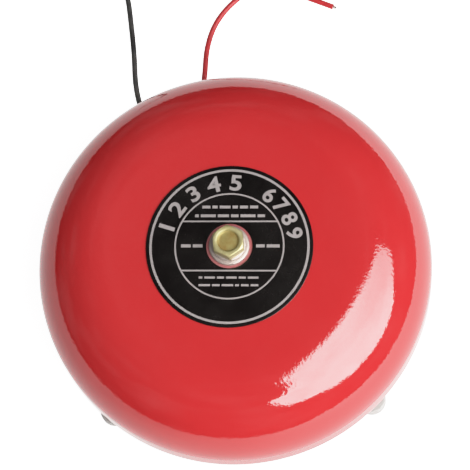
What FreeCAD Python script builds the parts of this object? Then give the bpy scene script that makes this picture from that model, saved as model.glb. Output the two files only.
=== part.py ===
import FreeCAD, Part
import math
import os

# Motor-driven fire alarm bell: a six-inch gong over a sealed striker mechanism on a cast base.
# Millimetres. The bell lies on its back: the origin is the centre of its mounting face, +Z runs
# along the gong's axis to its face, and +Y is the side where the two supply leads come out.

Vector = FreeCAD.Vector
X_AXIS = Vector(1, 0, 0)
Y_AXIS = Vector(0, 1, 0)
Z_AXIS = Vector(0, 0, 1)
ORIGIN = Vector(0, 0, 0)

# ---- driving dimensions ---------------------------------------------------------------------

# gong and its face
gong_radius = 75.0
gong_sheet = 1.5
gong_side = 9.5             # straight side between the rim and the shoulder
gong_shoulder = 27.5        # outer radius of the rounded shoulder
gong_bolt_clearance = 0.35  # round the bolt, in the gong and both washers
face_plate_radius = 31.0
face_plate_thick = 0.4
face_plate_rim_gap = 1.05   # between the plate's hole and the flat washer

# centre bolt and its washers
bolt_shank_radius = 3.175
bolt_shank_length = 19.0
bolt_head_flats = 11.1
bolt_head_height = 4.4
bolt_head_turn = 92.1       # degrees from +X to one corner of the hexagon
bolt_recess_radius = 4.1
bolt_recess_depth = 0.8
bolt_tip_chamfer = 0.6
head_chamfer_share = 0.75   # height of the corner chamfer over its width
head_crown_share = 0.97     # flat top of the head, in half flats
flat_washer_radius = 7.5
flat_washer_thick = 1.6
spring_washer_radius = 6.3
spring_washer_thick = 1.6
spring_washer_split = 0.9
spring_washer_slant = 30.0  # degrees of the split

# pillar that carries the gong
thread_clearance = 0.08     # radial, between a screw thread and its tapped hole
bolt_hole_spare = 2.2       # tapped depth past the bolt's tip
seat_washer_radius = 8.2
seat_washer_thick = 1.0
collar_flats = 17.0
collar_turn = 30.0
collar_height = 2.7
pillar_seal_thick = 0.8
pillar_seal_inset = 0.3     # seal's edge inside the collar's flats
pillar_radius = 6.0
pillar_stud_radius = 4.0
pillar_stud_length = 7.0
pillar_boss_radius = 9.0
pillar_cover_gap = 0.15
stud_hole_spare = 0.5

# cast base
floor_thick = 3.0
base_wall_thick = 3.0
boss_wall_gap = 0.1         # striker's boss over the gasket
hole_spacing = 99.0         # square pattern of the four fixing holes
hole_radius = 2.75
lug_end_radius = 5.5
lug_root_radius = 9.0
lug_root_inset = 2.0        # root circle's centre inside the wall
lug_thick = 4.0
lug_pad_radius = 4.8
lug_pad_height = 0.5
lug_edge_round = 0.8
gusset_thick = 2.6
gusset_drop = 2.0           # below the wall's top
gusset_foot_gap = 0.6       # before the lug's pad
floor_rib_thick = 2.0
floor_rib_height = 2.5
floor_rib_count = 6
floor_rib_turn = 30.0
back_recess_depth = 1.0     # hollow back, with ribs under the floor's
back_rim_width = 5.0
back_hub_radius = 12.0

# cover over the mechanism
gasket_thick = 1.0
cover_radius = 48.0
cover_ledge = 1.0           # flange past the cover's foot
cover_draft = 1.3           # how much smaller the cover is at its top edge
cover_wall = 2.2
cover_edge_round = 4.0
cover_flange_thick = 3.0
cover_rib_count = 8
cover_rib_thick = 1.6
cover_rib_height = 0.9
cover_rib_start = 13.0
cover_rib_end = 38.0
ear_radius = 5.0
ear_standout = 3.0          # the cover's screws past its foot
head_room = 0.8             # between the motor's terminals and the cover

# screws: shank radius, head radius, head height and length under the head
cover_screw = (1.5, 2.75, 2.0, 9.0)
plate_screw = (1.5, 2.75, 1.9, 8.0)
board_screw = (1.25, 2.35, 1.6, 5.0)
motor_screw = (1.0, 1.9, 1.2, 2.4)
screw_clearance = 0.2       # round a shank that passes through a sheet
cross_width = 0.7
cross_share = 0.6           # reach of the cross recess, in head radii
head_edge_share = 0.45      # straight edge of a pan head, in head heights

# striker: it slides along +X at this height and hits the inside of the gong's side
rod_height = 19.8
rod_radius = 2.5
rod_clearance = 0.05
strike_gap = 1.0
striker_stroke = 3.0
head_radius = 4.4
head_length = 9.0
head_bore_depth = 5.0
head_dome = 2.2
head_back_edge = 0.8
yoke_thick = 1.2
yoke_half_width = 5.0
yoke_tongue = 2.2           # how far the yoke reaches into the rod's slotted end
yoke_tongue_width = 4.0
yoke_slot_gap = 0.35
yoke_end_margin = 1.6       # metal past the follower pin
yoke_corner = 2.0
follower_radius = 1.2
rivet_radius = 0.85         # follower pin's end in the yoke
spring_wire = 0.6
spring_radius = 3.5
spring_turns = 5.5
spring_steps = 12           # straight pieces in each turn
spring_wire_corners = 6
spring_end_gap = 0.05
stop_clip_thick = 0.8
stop_clip_radius = 3.6
stop_gap = 0.3
clip_mouth = 1.8            # open side of both spring clips
bush_radius = 4.0
bush_flange_radius = 5.5
bush_flange_thick = 1.2
bush_length = 7.5
bush_boss_radius = 5.7
bush_boss_length = 6.5
bush_boss_standout = 2.8    # boss past the cover's wall radius

# gear train and snail cam
gear_module = 0.6
gear_teeth = 36
pinion_teeth = 12
pressure_angle = 25.0
tooth_backlash = 0.14
addendum = 0.9              # in modules
dedendum = 1.25
gear_thick = 3.2
pinion_thick = 4.2
cam_axle_x = 18.0
axle_radius = 1.5
bearing_clearance = 0.05
cam_height = 2.6
cam_low = 4.8               # pitch radius, axle to follower pin, with the striker out
cam_turn = 300.0            # degrees of turn that draw the striker in
cam_lead_in = 22.0          # degrees of cam before and after those
cam_run_out = 5.0
cam_gap = 0.1
cam_points = 16
axle_clip_radius = 3.0
axle_clip_thick = 0.6
axle_clip_gap = 0.1
yoke_over_clip = 0.6
thrust_gap = 0.3
gear_boss_gap = 0.6         # gear over the pillar's boss
axle_boss_radius = 3.2

# motor
motor_radius = 12.2
can_length = 14.0
can_wall = 0.8
end_cap_thick = 1.6
end_cap_spigot = 0.8
front_boss_radius = 3.0
front_boss_height = 1.2
shaft_radius = 1.0
press_gap = 0.02
magnet_floor_gap = 1.0
magnet_overhang = 1.0       # magnets past the armature at each end
magnet_thick = 2.0
magnet_gap = 0.1
magnet_angle = 130.0
armature_gap = 0.5
armature_length = 7.0
armature_poles = 3
armature_neck = 2.0
armature_hub = 3.2
armature_tip = 1.3
commutator_radius = 2.3
motor_screw_circle = 6.5
terminal_size = (0.6, 2.4, 2.2)
terminal_offset = (7.2, 3.0)

past = 1.0                  # how far a cut runs past the face where it starts

# mechanism plate
plate_thick = 1.2
clip_plate_gap = 0.6        # stop clip to plate
plate_corner_radius = 4.5
plate_wall_gap = 1.5
plate_post_radius = 3.5
inner_posts = [(20.0, -20.0), (4.0, 28.0)]
outer_post_angle = 20.0
plate_bush_gap = 1.5
open_corner_y = -6.0
tab_thick = 1.2
tab_half_width = 6.0
tab_below_rod = 3.8
tab_x = 31.0
window_length = 8.6
tapped_depth = 8.5
boss_fit = 0.05

# circuit board and what it carries
board_thick = 1.6
board_height = 9.0
board_wall_gap = 3.5
board_half_width = 24.0
board_post_gap = 1.0
board_post_radius = 3.0
board_post_inset = 4.5
board_post_x = -14.0        # the two posts beside the pillar
film_capacitor_size = (18.0, 7.0, 13.0)
film_capacitor_place = (-26.0, 11.5)
film_capacitor_round = 0.8
electrolytic_radius = 5.0
electrolytic_height = 18.0
electrolytic_edge = 0.5
groove_depth = 0.6
groove_start = 2.0
electrolytic_place = (-20.5, -11.0)
rectifier_radius = 4.5
rectifier_height = 5.5
rectifier_flat = 3.6        # keying flat, from the middle
rectifier_place = (-32.5, -9.0)
resistor_radius = 1.7
resistor_length = 7.5
resistor_lead_radius = 0.4
resistor_overhang = 1.5
resistor_places = [(-20.5, 1.4), (-28.0, 1.4)]
component_standoff = 0.4

# supply leads and their gland
gland_angle = 112.0
gland_height = 6.5
gland_half_length = 4.25
gland_half_height = 2.0
gland_flange_margin = 1.3
gland_flange_thick = 1.2
pad_half_width = 7.5
pad_standout = 0.8          # past the wall outside, and into the dish
pad_inset = 0.6
lead_radius = 1.1
lead_spacing = 4.2
strand_radius = 0.65
strand_length = 1.5
lead_straight = 8.0         # lead square to the wall on each side of the gland
tail_rise = 8.0             # inner leads over the board
lead_floor_gap = 0.05
bend_share = 0.45           # share of the shorter run that a bend takes
motor_wire_radius = 0.7
motor_wire_foot = (-12.5, -2.5)         # x, and y from its terminal
motor_wire_turn = (-10.0, -1.0, 3.0)    # the same, and how far below the terminal
motor_wire_level_x = -4.0               # level from here to the terminal

# ---- sizes that follow ----------------------------------------------------------------------

yoke_bottom = rod_height - yoke_thick / 2
yoke_top = rod_height + yoke_thick / 2
axle_clip_top = yoke_bottom - yoke_over_clip
axle_clip_bottom = axle_clip_top - axle_clip_thick
cam_top = axle_clip_bottom - axle_clip_gap
gear_top = cam_top - cam_height
gear_bottom = gear_top - gear_thick
axle_boss_top = gear_bottom - thrust_gap
pillar_boss_top = gear_bottom - gear_boss_gap

plate_bottom = rod_height + stop_clip_radius + clip_plate_gap
plate_top = plate_bottom + plate_thick
can_top = plate_top + can_length
end_cap_top = can_top + end_cap_thick
cover_ceiling = end_cap_top + terminal_size[2] + head_room
cover_top = cover_ceiling + cover_wall
collar_bottom = cover_top + pillar_seal_thick
collar_top = collar_bottom + collar_height
gong_under = collar_top + seat_washer_thick
gong_top = gong_under + gong_sheet
rim_height = gong_top - gong_shoulder - gong_side
shoulder_height = rim_height + gong_side
shoulder_centre = gong_radius - gong_shoulder
gong_inner = gong_radius - gong_sheet

base_wall_height = rod_height - bush_boss_radius - boss_wall_gap - gasket_thick
cover_bottom = base_wall_height + gasket_thick
cover_inner = cover_radius - cover_wall
base_wall_radius = cover_radius + cover_ledge
base_wall_inner = base_wall_radius - base_wall_thick
ear_centre = cover_radius + ear_standout
pad_outer = base_wall_radius + pad_standout
pad_inner = base_wall_inner - pad_inset
board_top = board_height + board_thick
board_radius = base_wall_inner - board_wall_gap
board_post_y = board_half_width - board_post_inset
board_posts = [(board_post_x, board_post_y), (board_post_inset - board_radius, 0),
               (board_post_x, -board_post_y)]
cover_hole_radius = pillar_radius + pillar_cover_gap

flat_washer_top = gong_top + flat_washer_thick
spring_washer_top = flat_washer_top + spring_washer_thick
bolt_tip = spring_washer_top - bolt_shank_length
bolt_clear_radius = bolt_shank_radius + gong_bolt_clearance

hole_offset = hole_spacing / 2
hole_circle = hole_offset * math.sqrt(2)
diagonal_angles = [45, 135, 225, 315]

gear_radius = gear_module * gear_teeth / 2
pinion_radius = gear_module * pinion_teeth / 2
motor_x = cam_axle_x
motor_y = gear_radius + pinion_radius

head_tip = gong_inner - strike_gap
head_start = head_tip - head_length
rod_end = head_start + head_bore_depth
boss_end = cover_radius + bush_boss_standout
boss_start = boss_end - bush_boss_length
bush_flange_start = boss_start - bush_flange_thick
stop_clip_end = bush_flange_start - stop_gap
stop_clip_start = stop_clip_end - stop_clip_thick
tab_end = tab_x + tab_thick
rod_start = tab_x - yoke_tongue - stop_gap
follower_x = cam_axle_x - cam_low

gland_out = Vector(math.cos(math.radians(gland_angle)), math.sin(math.radians(gland_angle)), 0)
gland_left = Vector(-gland_out.y, gland_out.x, 0)
gland_face = pad_outer + gland_flange_thick
gland_back = pad_inner - gland_flange_thick


# ---- tools of the trade ---------------------------------------------------------------------

def cylinder(radius, bottom, top, x=0, y=0):
    """Upright round bar."""
    return Part.makeCylinder(radius, top - bottom, Vector(x, y, bottom), Z_AXIS)


def bar(radius, start, end, y=0, z=rod_height):
    """Round bar along X."""
    return Part.makeCylinder(radius, end - start, Vector(start, y, z), X_AXIS)


def ring(outer, inner, bottom, top, x=0, y=0):
    """Upright tube or flat washer."""
    return cylinder(outer, bottom, top, x, y).cut(cylinder(inner, bottom, top, x, y))


def block(x_range, y_range, z_range):
    """Rectangular block between two corners."""
    size = [high - low for low, high in (x_range, y_range, z_range)]
    return Part.makeBox(*size, Vector(x_range[0], y_range[0], z_range[0]))


def outline(start, *steps):
    """Closed wire from 3D points; a step is an end point, or (point on the arc, end point)."""
    edges = []
    here = start
    for step in steps:
        if isinstance(step, tuple):
            edges.append(Part.Arc(here, step[0], step[1]).toShape())
            here = step[1]
        else:
            edges.append(Part.LineSegment(here, step).toShape())
            here = step
    return Part.Wire(edges)


def turned(start, *steps):
    """Solid of revolution about Z; the profile's points are (radius, height)."""
    def lift(point):
        return Vector(point[0], 0, point[1])
    lifted = [tuple(lift(p) for p in s) if isinstance(s[0], tuple) else lift(s) for s in steps]
    face = Part.Face(outline(lift(start), *lifted))
    return face.revolve(ORIGIN, Z_AXIS, 360)


def on_arc(centre, radius, degrees):
    """Point of a circle, as a pair."""
    angle = math.radians(degrees)
    return (centre[0] + radius * math.cos(angle), centre[1] + radius * math.sin(angle))


plate_reach = cover_inner - plate_corner_radius - plate_wall_gap
outer_post = on_arc((0, 0), plate_reach, outer_post_angle)
plate_open_corner = (bush_flange_start - plate_bush_gap - plate_corner_radius, open_corner_y)
plate_posts = [inner_posts[0], outer_post, inner_posts[1]]


def dome(radius, edge, top):
    """Profile step for a round cap, from (radius, edge) up to the axis at top."""
    drop = top - edge
    ball = (radius ** 2 + drop ** 2) / (2 * drop)
    half = math.asin(radius / ball) / 2
    return ((ball * math.sin(half), top - ball + ball * math.cos(half)), (0, top))


def belt(circles, bottom, top):
    """Plate whose outline is a belt round circles (x, y, radius), listed anticlockwise."""
    tangents = []
    for (xa, ya, ra), (xb, yb, rb) in zip(circles, circles[1:] + circles[:1]):
        heading = math.atan2(yb - ya, xb - xa)
        lean = math.asin((ra - rb) / math.hypot(xb - xa, yb - ya))
        tangents.append(math.degrees(heading + lean) - 90)
    edges = []
    for i, (x, y, radius) in enumerate(circles):
        first = tangents[i - 1]
        last = first + (tangents[i] - first) % 360
        arc = [Vector(*on_arc((x, y), radius, a), bottom) for a in (first, (first + last) / 2, last)]
        x_next, y_next, radius_next = circles[(i + 1) % len(circles)]
        landing = Vector(*on_arc((x_next, y_next), radius_next, tangents[i]), bottom)
        edges.append(Part.Arc(*arc).toShape())
        edges.append(Part.LineSegment(arc[2], landing).toShape())
    return Part.Face(Part.Wire(edges)).extrude(Vector(0, 0, top - bottom))


def spun(shape, degrees, x=0, y=0):
    """Copy of a shape turned about an upright line."""
    copy = shape.copy()
    copy.rotate(Vector(x, y, 0), Z_AXIS, degrees)
    return copy


def fused(shapes):
    """One solid out of several that touch or overlap."""
    shapes = list(shapes)
    return shapes[0].multiFuse(shapes[1:]).removeSplitter()


def hexagon(flats, bottom, top, first_corner):
    """Hexagonal bar across the given flats, with one corner at an angle from +X."""
    sides = 6
    corner = flats / 2 / math.cos(math.pi / sides)
    angles = [first_corner + 360 / sides * i for i in range(sides + 1)]
    points = [Vector(*on_arc((0, 0), corner, angle), bottom) for angle in angles]
    return Part.Face(Part.makePolygon(points)).extrude(Vector(0, 0, top - bottom))


def pan_screw(size, x, y, seat, facing=1):
    """Cross-recessed pan-head screw with its head's underside at the height seat."""
    shank, head, height, length = size
    edge = height * head_edge_share
    body = turned((0, -length), (shank, -length), (shank, 0), (head, 0), (head, edge),
                  dome(head, edge, height), (0, -length))
    arm = head * cross_share
    for wide, deep in ((arm, cross_width / 2), (cross_width / 2, arm)):
        body = body.cut(block((-wide, wide), (-deep, deep), (edge, height)))
    if facing < 0:
        body.rotate(ORIGIN, X_AXIS, 180)
    body.translate(Vector(x, y, seat))
    return body


def tube(points, radius, name):
    """Cord, lead or wire: straight runs joined by arcs as large as the runs allow."""
    points = [Vector(*point) for point in points]
    edges = []
    here = points[0]
    tightest = None
    for before, corner, after in zip(points, points[1:], points[2:]):
        arriving = (corner - before).normalize()
        leaving = (after - corner).normalize()
        turn = arriving.getAngle(leaving)
        reach = bend_share * min((corner - before).Length, (after - corner).Length)
        bend = reach / math.tan(turn / 2)
        tightest = min(bend, tightest or bend)
        start = corner - arriving * reach
        end = corner + leaving * reach
        inward = (leaving - arriving).normalize()
        middle = corner + inward * (bend / math.cos(turn / 2) - bend)
        edges.append(Part.LineSegment(here, start).toShape())
        edges.append(Part.Arc(start, middle, end).toShape())
        here = end
    edges.append(Part.LineSegment(here, points[-1]).toShape())
    path = Part.Wire(edges)
    first_way = (points[1] - points[0]).normalize()
    section = Part.Wire(Part.makeCircle(radius, points[0], first_way))
    solid = path.makePipeShell([section], True, False)
    expected = math.pi * radius ** 2 * path.Length
    print("%s: length %.1f, tightest bend %.1f, volume over section x length %.4f"
          % (name, path.Length, tightest, solid.Volume / expected))
    return solid


def save(name, *solids):
    """Write one node's STEP file."""
    shape = solids[0] if len(solids) == 1 else Part.makeCompound(list(solids))
    shape.exportStep("parts/%s.step" % name)


# ---- gong, face plate, bolt and washers -----------------------------------------------------

def gong():
    """Pressed steel bowl: flat face, round shoulder, straight side, half-round rim."""
    centre = (shoulder_centre, shoulder_height)
    inner_shoulder = gong_shoulder - gong_sheet
    half_sheet = gong_sheet / 2
    rim_mid = gong_radius - half_sheet
    return turned(
        (bolt_clear_radius, gong_top), (shoulder_centre, gong_top),
        (on_arc(centre, gong_shoulder, 45), (gong_radius, shoulder_height)),
        (gong_radius, rim_height + half_sheet),
        ((rim_mid, rim_height), (gong_inner, rim_height + half_sheet)),
        (gong_inner, shoulder_height),
        (on_arc(centre, inner_shoulder, 45), (shoulder_centre, gong_under)),
        (bolt_clear_radius, gong_under), (bolt_clear_radius, gong_top))


def face_plate():
    """Thin printed disc glued to the gong's flat face, with a hole round the washer."""
    hole = flat_washer_radius + face_plate_rim_gap
    return ring(face_plate_radius, hole, gong_top, gong_top + face_plate_thick)


def flat_washer():
    return ring(flat_washer_radius, bolt_clear_radius, gong_top, flat_washer_top)


def spring_washer():
    """Split lock washer: the slanted split faces -Y."""
    split = block((-spring_washer_split / 2, spring_washer_split / 2),
                  (-2 * spring_washer_radius, 0),
                  (flat_washer_top - spring_washer_thick, spring_washer_top + spring_washer_thick))
    middle = (flat_washer_top + spring_washer_top) / 2
    split.rotate(Vector(0, 0, middle), Y_AXIS, spring_washer_slant)
    return ring(spring_washer_radius, bolt_clear_radius, flat_washer_top, spring_washer_top).cut(split)


def gong_bolt():
    """Hexagon-head bolt with a chamfered, dished head."""
    head_top = spring_washer_top + bolt_head_height
    corner = bolt_head_flats / math.sqrt(3)
    flat = bolt_head_flats / 2
    drop = (corner - flat) * head_chamfer_share
    trim = turned((0, spring_washer_top), (corner, spring_washer_top), (corner, head_top - drop),
                  (flat * head_crown_share, head_top), (0, head_top), (0, spring_washer_top))
    head = hexagon(bolt_head_flats, spring_washer_top, head_top, bolt_head_turn).common(trim)
    recess = turned((0, head_top), (bolt_recess_radius, head_top),
                    (bolt_recess_radius - bolt_recess_depth / 2, head_top - bolt_recess_depth),
                    (0, head_top - bolt_recess_depth), (0, head_top))
    shank = turned((0, bolt_tip), (bolt_shank_radius - bolt_tip_chamfer, bolt_tip),
                   (bolt_shank_radius, bolt_tip + bolt_tip_chamfer),
                   (bolt_shank_radius, spring_washer_top), (0, spring_washer_top), (0, bolt_tip))
    return fused([head.cut(recess), shank])


# ---- pillar ---------------------------------------------------------------------------------

def gong_pillar():
    """Steel pillar: a stud in the base's boss, a round body, and a spanner collar on top."""
    stud_bottom = pillar_boss_top - pillar_stud_length
    body = fused([cylinder(pillar_stud_radius, stud_bottom, pillar_boss_top),
                  cylinder(pillar_radius, pillar_boss_top, collar_bottom),
                  hexagon(collar_flats, collar_bottom, collar_top, collar_turn)])
    thread = cylinder(bolt_shank_radius + thread_clearance, bolt_tip - bolt_hole_spare, collar_top)
    return body.cut(thread)


def pillar_seal():
    """Rubber ring squeezed between the cover and the pillar's collar."""
    return ring(collar_flats / 2 - pillar_seal_inset, cover_hole_radius, cover_top, collar_bottom)


def seat_washer():
    """Fibre washer that the gong sits on."""
    return ring(seat_washer_radius, bolt_clear_radius, collar_top, gong_under)


# ---- base casting ---------------------------------------------------------------------------

def lug():
    """One fixing lug along +X, with a rounded top edge."""
    arm = belt([(base_wall_inner - lug_root_inset, 0, lug_root_radius),
                (hole_circle, 0, lug_end_radius)], 0, lug_thick)
    top_edges = [edge for edge in arm.Edges if edge.BoundBox.ZMin > lug_thick / 2]
    arm = arm.makeFillet(lug_edge_round, top_edges)
    pad = cylinder(lug_pad_radius, lug_thick, lug_thick + lug_pad_height, hole_circle)
    return fused([arm, pad])


def gusset():
    """Triangular web from the screw boss down to the lug, along +X."""
    root = ear_centre
    foot = hole_circle - lug_pad_radius - gusset_foot_gap
    top = base_wall_height - gusset_drop
    side = -gusset_thick / 2
    shape = outline(Vector(root, side, lug_thick), Vector(foot, side, lug_thick),
                    Vector(root + ear_radius, side, top), Vector(root, side, top),
                    Vector(root, side, lug_thick))
    return Part.Face(shape).extrude(Vector(0, gusset_thick, 0))


def gland_pad():
    """Flat-faced thickening of the base's wall round the lead gland."""
    pad = block((pad_inner, pad_outer), (-pad_half_width, pad_half_width),
                (floor_thick, base_wall_height))
    return spun(pad, gland_angle)


def gland_slot(inner, outer, margin):
    """Flat oval bar through the wall, margin wider all round than the gland's neck."""
    height = gland_half_height + margin
    straight = gland_half_length + margin - height
    ends = [(-straight, 0, height), (straight, 0, height)]
    oval = belt(ends, inner, outer)
    oval.rotate(ORIGIN, Y_AXIS, 90)
    oval.rotate(ORIGIN, X_AXIS, 90)
    oval.translate(Vector(0, 0, gland_height))
    return spun(oval, gland_angle)


def back_recesses():
    """Shallow pockets in the base's back between its rim, hub and ribs."""
    pocket = ring(base_wall_radius - back_rim_width, back_hub_radius, 0, back_recess_depth)
    web = block((0, base_wall_radius), (-floor_rib_thick / 2, floor_rib_thick / 2),
                (0, back_recess_depth))
    webs = [spun(web, floor_rib_turn + 360 / floor_rib_count * i) for i in range(floor_rib_count)]
    return pocket.cut(webs)


def tapped_hole(size, x, y, top, depth):
    """Blind hole for a screw's thread."""
    return cylinder(size[0] + thread_clearance, top - depth, top, x, y)


def base_casting():
    """Die-cast dish with four lugs, posts, bosses and floor ribs."""
    lugs = [spun(lug(), angle) for angle in diagonal_angles]
    gussets = [spun(gusset(), angle) for angle in diagonal_angles]
    ears = [spun(cylinder(ear_radius, 0, base_wall_height, ear_centre), a) for a in diagonal_angles]
    dish = fused([cylinder(base_wall_radius, 0, base_wall_height)] + lugs + gussets + ears)
    dish = dish.cut(cylinder(base_wall_inner, floor_thick, base_wall_height))
    centre_boss = cylinder(pillar_boss_radius, floor_thick, pillar_boss_top)
    axle_boss = cylinder(axle_boss_radius, floor_thick, axle_boss_top, cam_axle_x)
    posts = [cylinder(plate_post_radius, floor_thick, plate_bottom, x, y) for x, y in plate_posts]
    stubs = [cylinder(board_post_radius, floor_thick, board_height, x, y) for x, y in board_posts]
    rib = block((pillar_boss_radius - past, base_wall_inner + past),
                (-floor_rib_thick / 2, floor_rib_thick / 2),
                (floor_thick, floor_thick + floor_rib_height))
    ribs = [spun(rib, floor_rib_turn + 360 / floor_rib_count * i) for i in range(floor_rib_count)]
    body = fused([dish, centre_boss, axle_boss, gland_pad()] + posts + stubs + ribs)
    body = body.cut(back_recesses())
    stud_depth = pillar_stud_length + stud_hole_spare
    holes = [cylinder(pillar_stud_radius + thread_clearance, pillar_boss_top - stud_depth,
                      pillar_boss_top)]
    holes += [spun(cylinder(hole_radius, -past, base_wall_height, hole_circle), a)
              for a in diagonal_angles]
    holes += [spun(tapped_hole(cover_screw, ear_centre, 0, base_wall_height, tapped_depth), a)
              for a in diagonal_angles]
    holes += [tapped_hole(plate_screw, x, y, plate_bottom, tapped_depth) for x, y in plate_posts]
    holes += [tapped_hole(board_screw, x, y, board_height, board_height - floor_thick)
              for x, y in board_posts]
    holes.append(cylinder(axle_radius + press_gap, floor_thick, axle_boss_top, cam_axle_x))
    holes.append(gland_slot(pad_inner - past, pad_outer + past, 0))
    return body.cut(holes)


# ---- gasket and cover -----------------------------------------------------------------------

def flange_outline(bottom, top):
    """Round flange with four screw ears."""
    disc = cylinder(base_wall_radius, bottom, top)
    ear = cylinder(ear_radius, bottom, top, ear_centre)
    return fused([disc] + [spun(ear, angle) for angle in diagonal_angles])


def ear_holes(bottom, top):
    clear = cover_screw[0] + screw_clearance
    return [spun(cylinder(clear, bottom, top, ear_centre), angle) for angle in diagonal_angles]


def base_gasket():
    """Rubber gasket between the base's wall and the cover."""
    sheet = flange_outline(base_wall_height, cover_bottom)
    opening = cylinder(base_wall_inner, base_wall_height, cover_bottom)
    return sheet.cut([opening] + ear_holes(base_wall_height, cover_bottom))


def cover_form(radius, top, edge_round, hole):
    """Drafted round cup with a rounded top edge, as a solid down to the cover's bottom."""
    top_radius = radius - cover_draft
    centre = (top_radius - edge_round, top - edge_round)
    return turned((hole, cover_bottom), (radius, cover_bottom), (top_radius, top - edge_round),
                  (on_arc(centre, edge_round, 45), (top_radius - edge_round, top)),
                  (hole, top), (hole, cover_bottom))


def mechanism_cover():
    """Moulded cup with a screw flange, a boss for the striker's bush and ribs on top."""
    outside = fused([cover_form(cover_radius, cover_top, cover_edge_round, cover_hole_radius),
                     flange_outline(cover_bottom, cover_bottom + cover_flange_thick)])
    cavity = cover_form(cover_inner, cover_ceiling, cover_edge_round - cover_wall, 0)
    hole = cylinder(cover_hole_radius, cover_bottom, cover_top)
    shell = outside.cut([cavity, hole] + ear_holes(cover_bottom, cover_bottom + cover_flange_thick))
    rib = block((cover_rib_start, cover_rib_end), (-cover_rib_thick / 2, cover_rib_thick / 2),
                (cover_top, cover_top + cover_rib_height))
    ribs = [spun(rib, 360 / cover_rib_count * i) for i in range(cover_rib_count)]
    boss = bar(bush_boss_radius, boss_start, boss_end)
    return fused([shell, boss] + ribs).cut(bar(bush_radius, boss_start, boss_end))


# ---- striker --------------------------------------------------------------------------------

def striker_bush():
    """Flanged bearing bush pressed into the cover's boss from inside."""
    flange = bar(bush_flange_radius, bush_flange_start, boss_start)
    body = bar(bush_radius, boss_start, boss_start + bush_length)
    bore = bar(rod_radius + rod_clearance, bush_flange_start, boss_start + bush_length)
    return fused([flange, body]).cut(bore)


def striker_rod():
    """Round rod with a slotted inner end for the yoke's tongue."""
    slot_half = yoke_thick / 2 + press_gap
    slot = block((rod_start - past, rod_start + yoke_tongue + press_gap), (-rod_radius, rod_radius),
                 (rod_height - slot_half, rod_height + slot_half))
    return bar(rod_radius, rod_start, rod_end).cut(slot)


def striker_head():
    """Hammer head with a domed face and a rounded back edge."""
    body = turned((0, 0), (head_radius - head_back_edge, 0), (head_radius, head_back_edge),
                  (head_radius, head_length - head_dome),
                  dome(head_radius, head_length - head_dome, head_length), (0, 0))
    body = body.cut(cylinder(rod_radius + press_gap, 0, head_bore_depth))
    body.rotate(ORIGIN, Y_AXIS, 90)
    body.translate(Vector(head_start, 0, rod_height))
    return body


def striker_yoke():
    """Flat steel yoke: a tongue in the rod, a slot round the axle, a hole for the follower."""
    side = yoke_half_width - yoke_corner
    inner = follower_x - follower_radius - yoke_end_margin + yoke_corner
    outer = rod_start - yoke_corner
    corners = [(inner, -side), (outer, -side), (outer, side), (inner, side)]
    plate = belt([(x, y, yoke_corner) for x, y in corners], yoke_bottom, yoke_top)
    tongue = block((outer, rod_start + yoke_tongue),
                   (-yoke_tongue_width / 2, yoke_tongue_width / 2), (yoke_bottom, yoke_top))
    slot_radius = axle_radius + yoke_slot_gap
    slot = belt([(cam_axle_x, 0, slot_radius), (cam_axle_x + striker_stroke, 0, slot_radius)],
                yoke_bottom, yoke_top)
    pin_hole = cylinder(rivet_radius + press_gap, yoke_bottom, yoke_top, follower_x)
    return fused([plate, tongue]).cut([slot, pin_hole])


def follower_pin():
    """Shouldered pin riveted in the yoke, which rides on the snail cam."""
    return fused([cylinder(follower_radius, gear_top + thrust_gap, yoke_bottom, follower_x),
                  cylinder(rivet_radius, yoke_bottom, yoke_top, follower_x)])


def stop_clip():
    """Spring clip snapped on the rod: the spring pushes on it, and it stops at the bush."""
    clip = bar(stop_clip_radius, stop_clip_start, stop_clip_end)
    mouth = block((stop_clip_start, stop_clip_end), (-clip_mouth / 2, clip_mouth / 2),
                  (rod_height - 2 * stop_clip_radius, rod_height))
    return clip.cut([bar(rod_radius + press_gap, stop_clip_start, stop_clip_end), mouth])


def striker_spring():
    """Compression spring on the rod, between the plate's tab and the stop clip."""
    start = tab_end + spring_end_gap + spring_wire / 2
    end = stop_clip_start - spring_end_gap - spring_wire / 2
    mean = spring_radius - spring_wire / 2
    steps = round(spring_turns * spring_steps)
    sections = []
    for i in range(steps + 1):
        turn = 360 / spring_steps * i
        along = start + (end - start) * i / steps
        corners = []
        for j in range(spring_wire_corners + 1):
            out, ahead = on_arc((mean, along), spring_wire / 2, 360 / spring_wire_corners * j)
            y, z = on_arc((0, rod_height), out, turn)
            corners.append(Vector(ahead, y, z))
        sections.append(Part.makePolygon(corners))
    return Part.makeLoft(sections, True, True)


# ---- gear train -----------------------------------------------------------------------------

def involute(angle):
    return math.tan(angle) - angle


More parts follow.
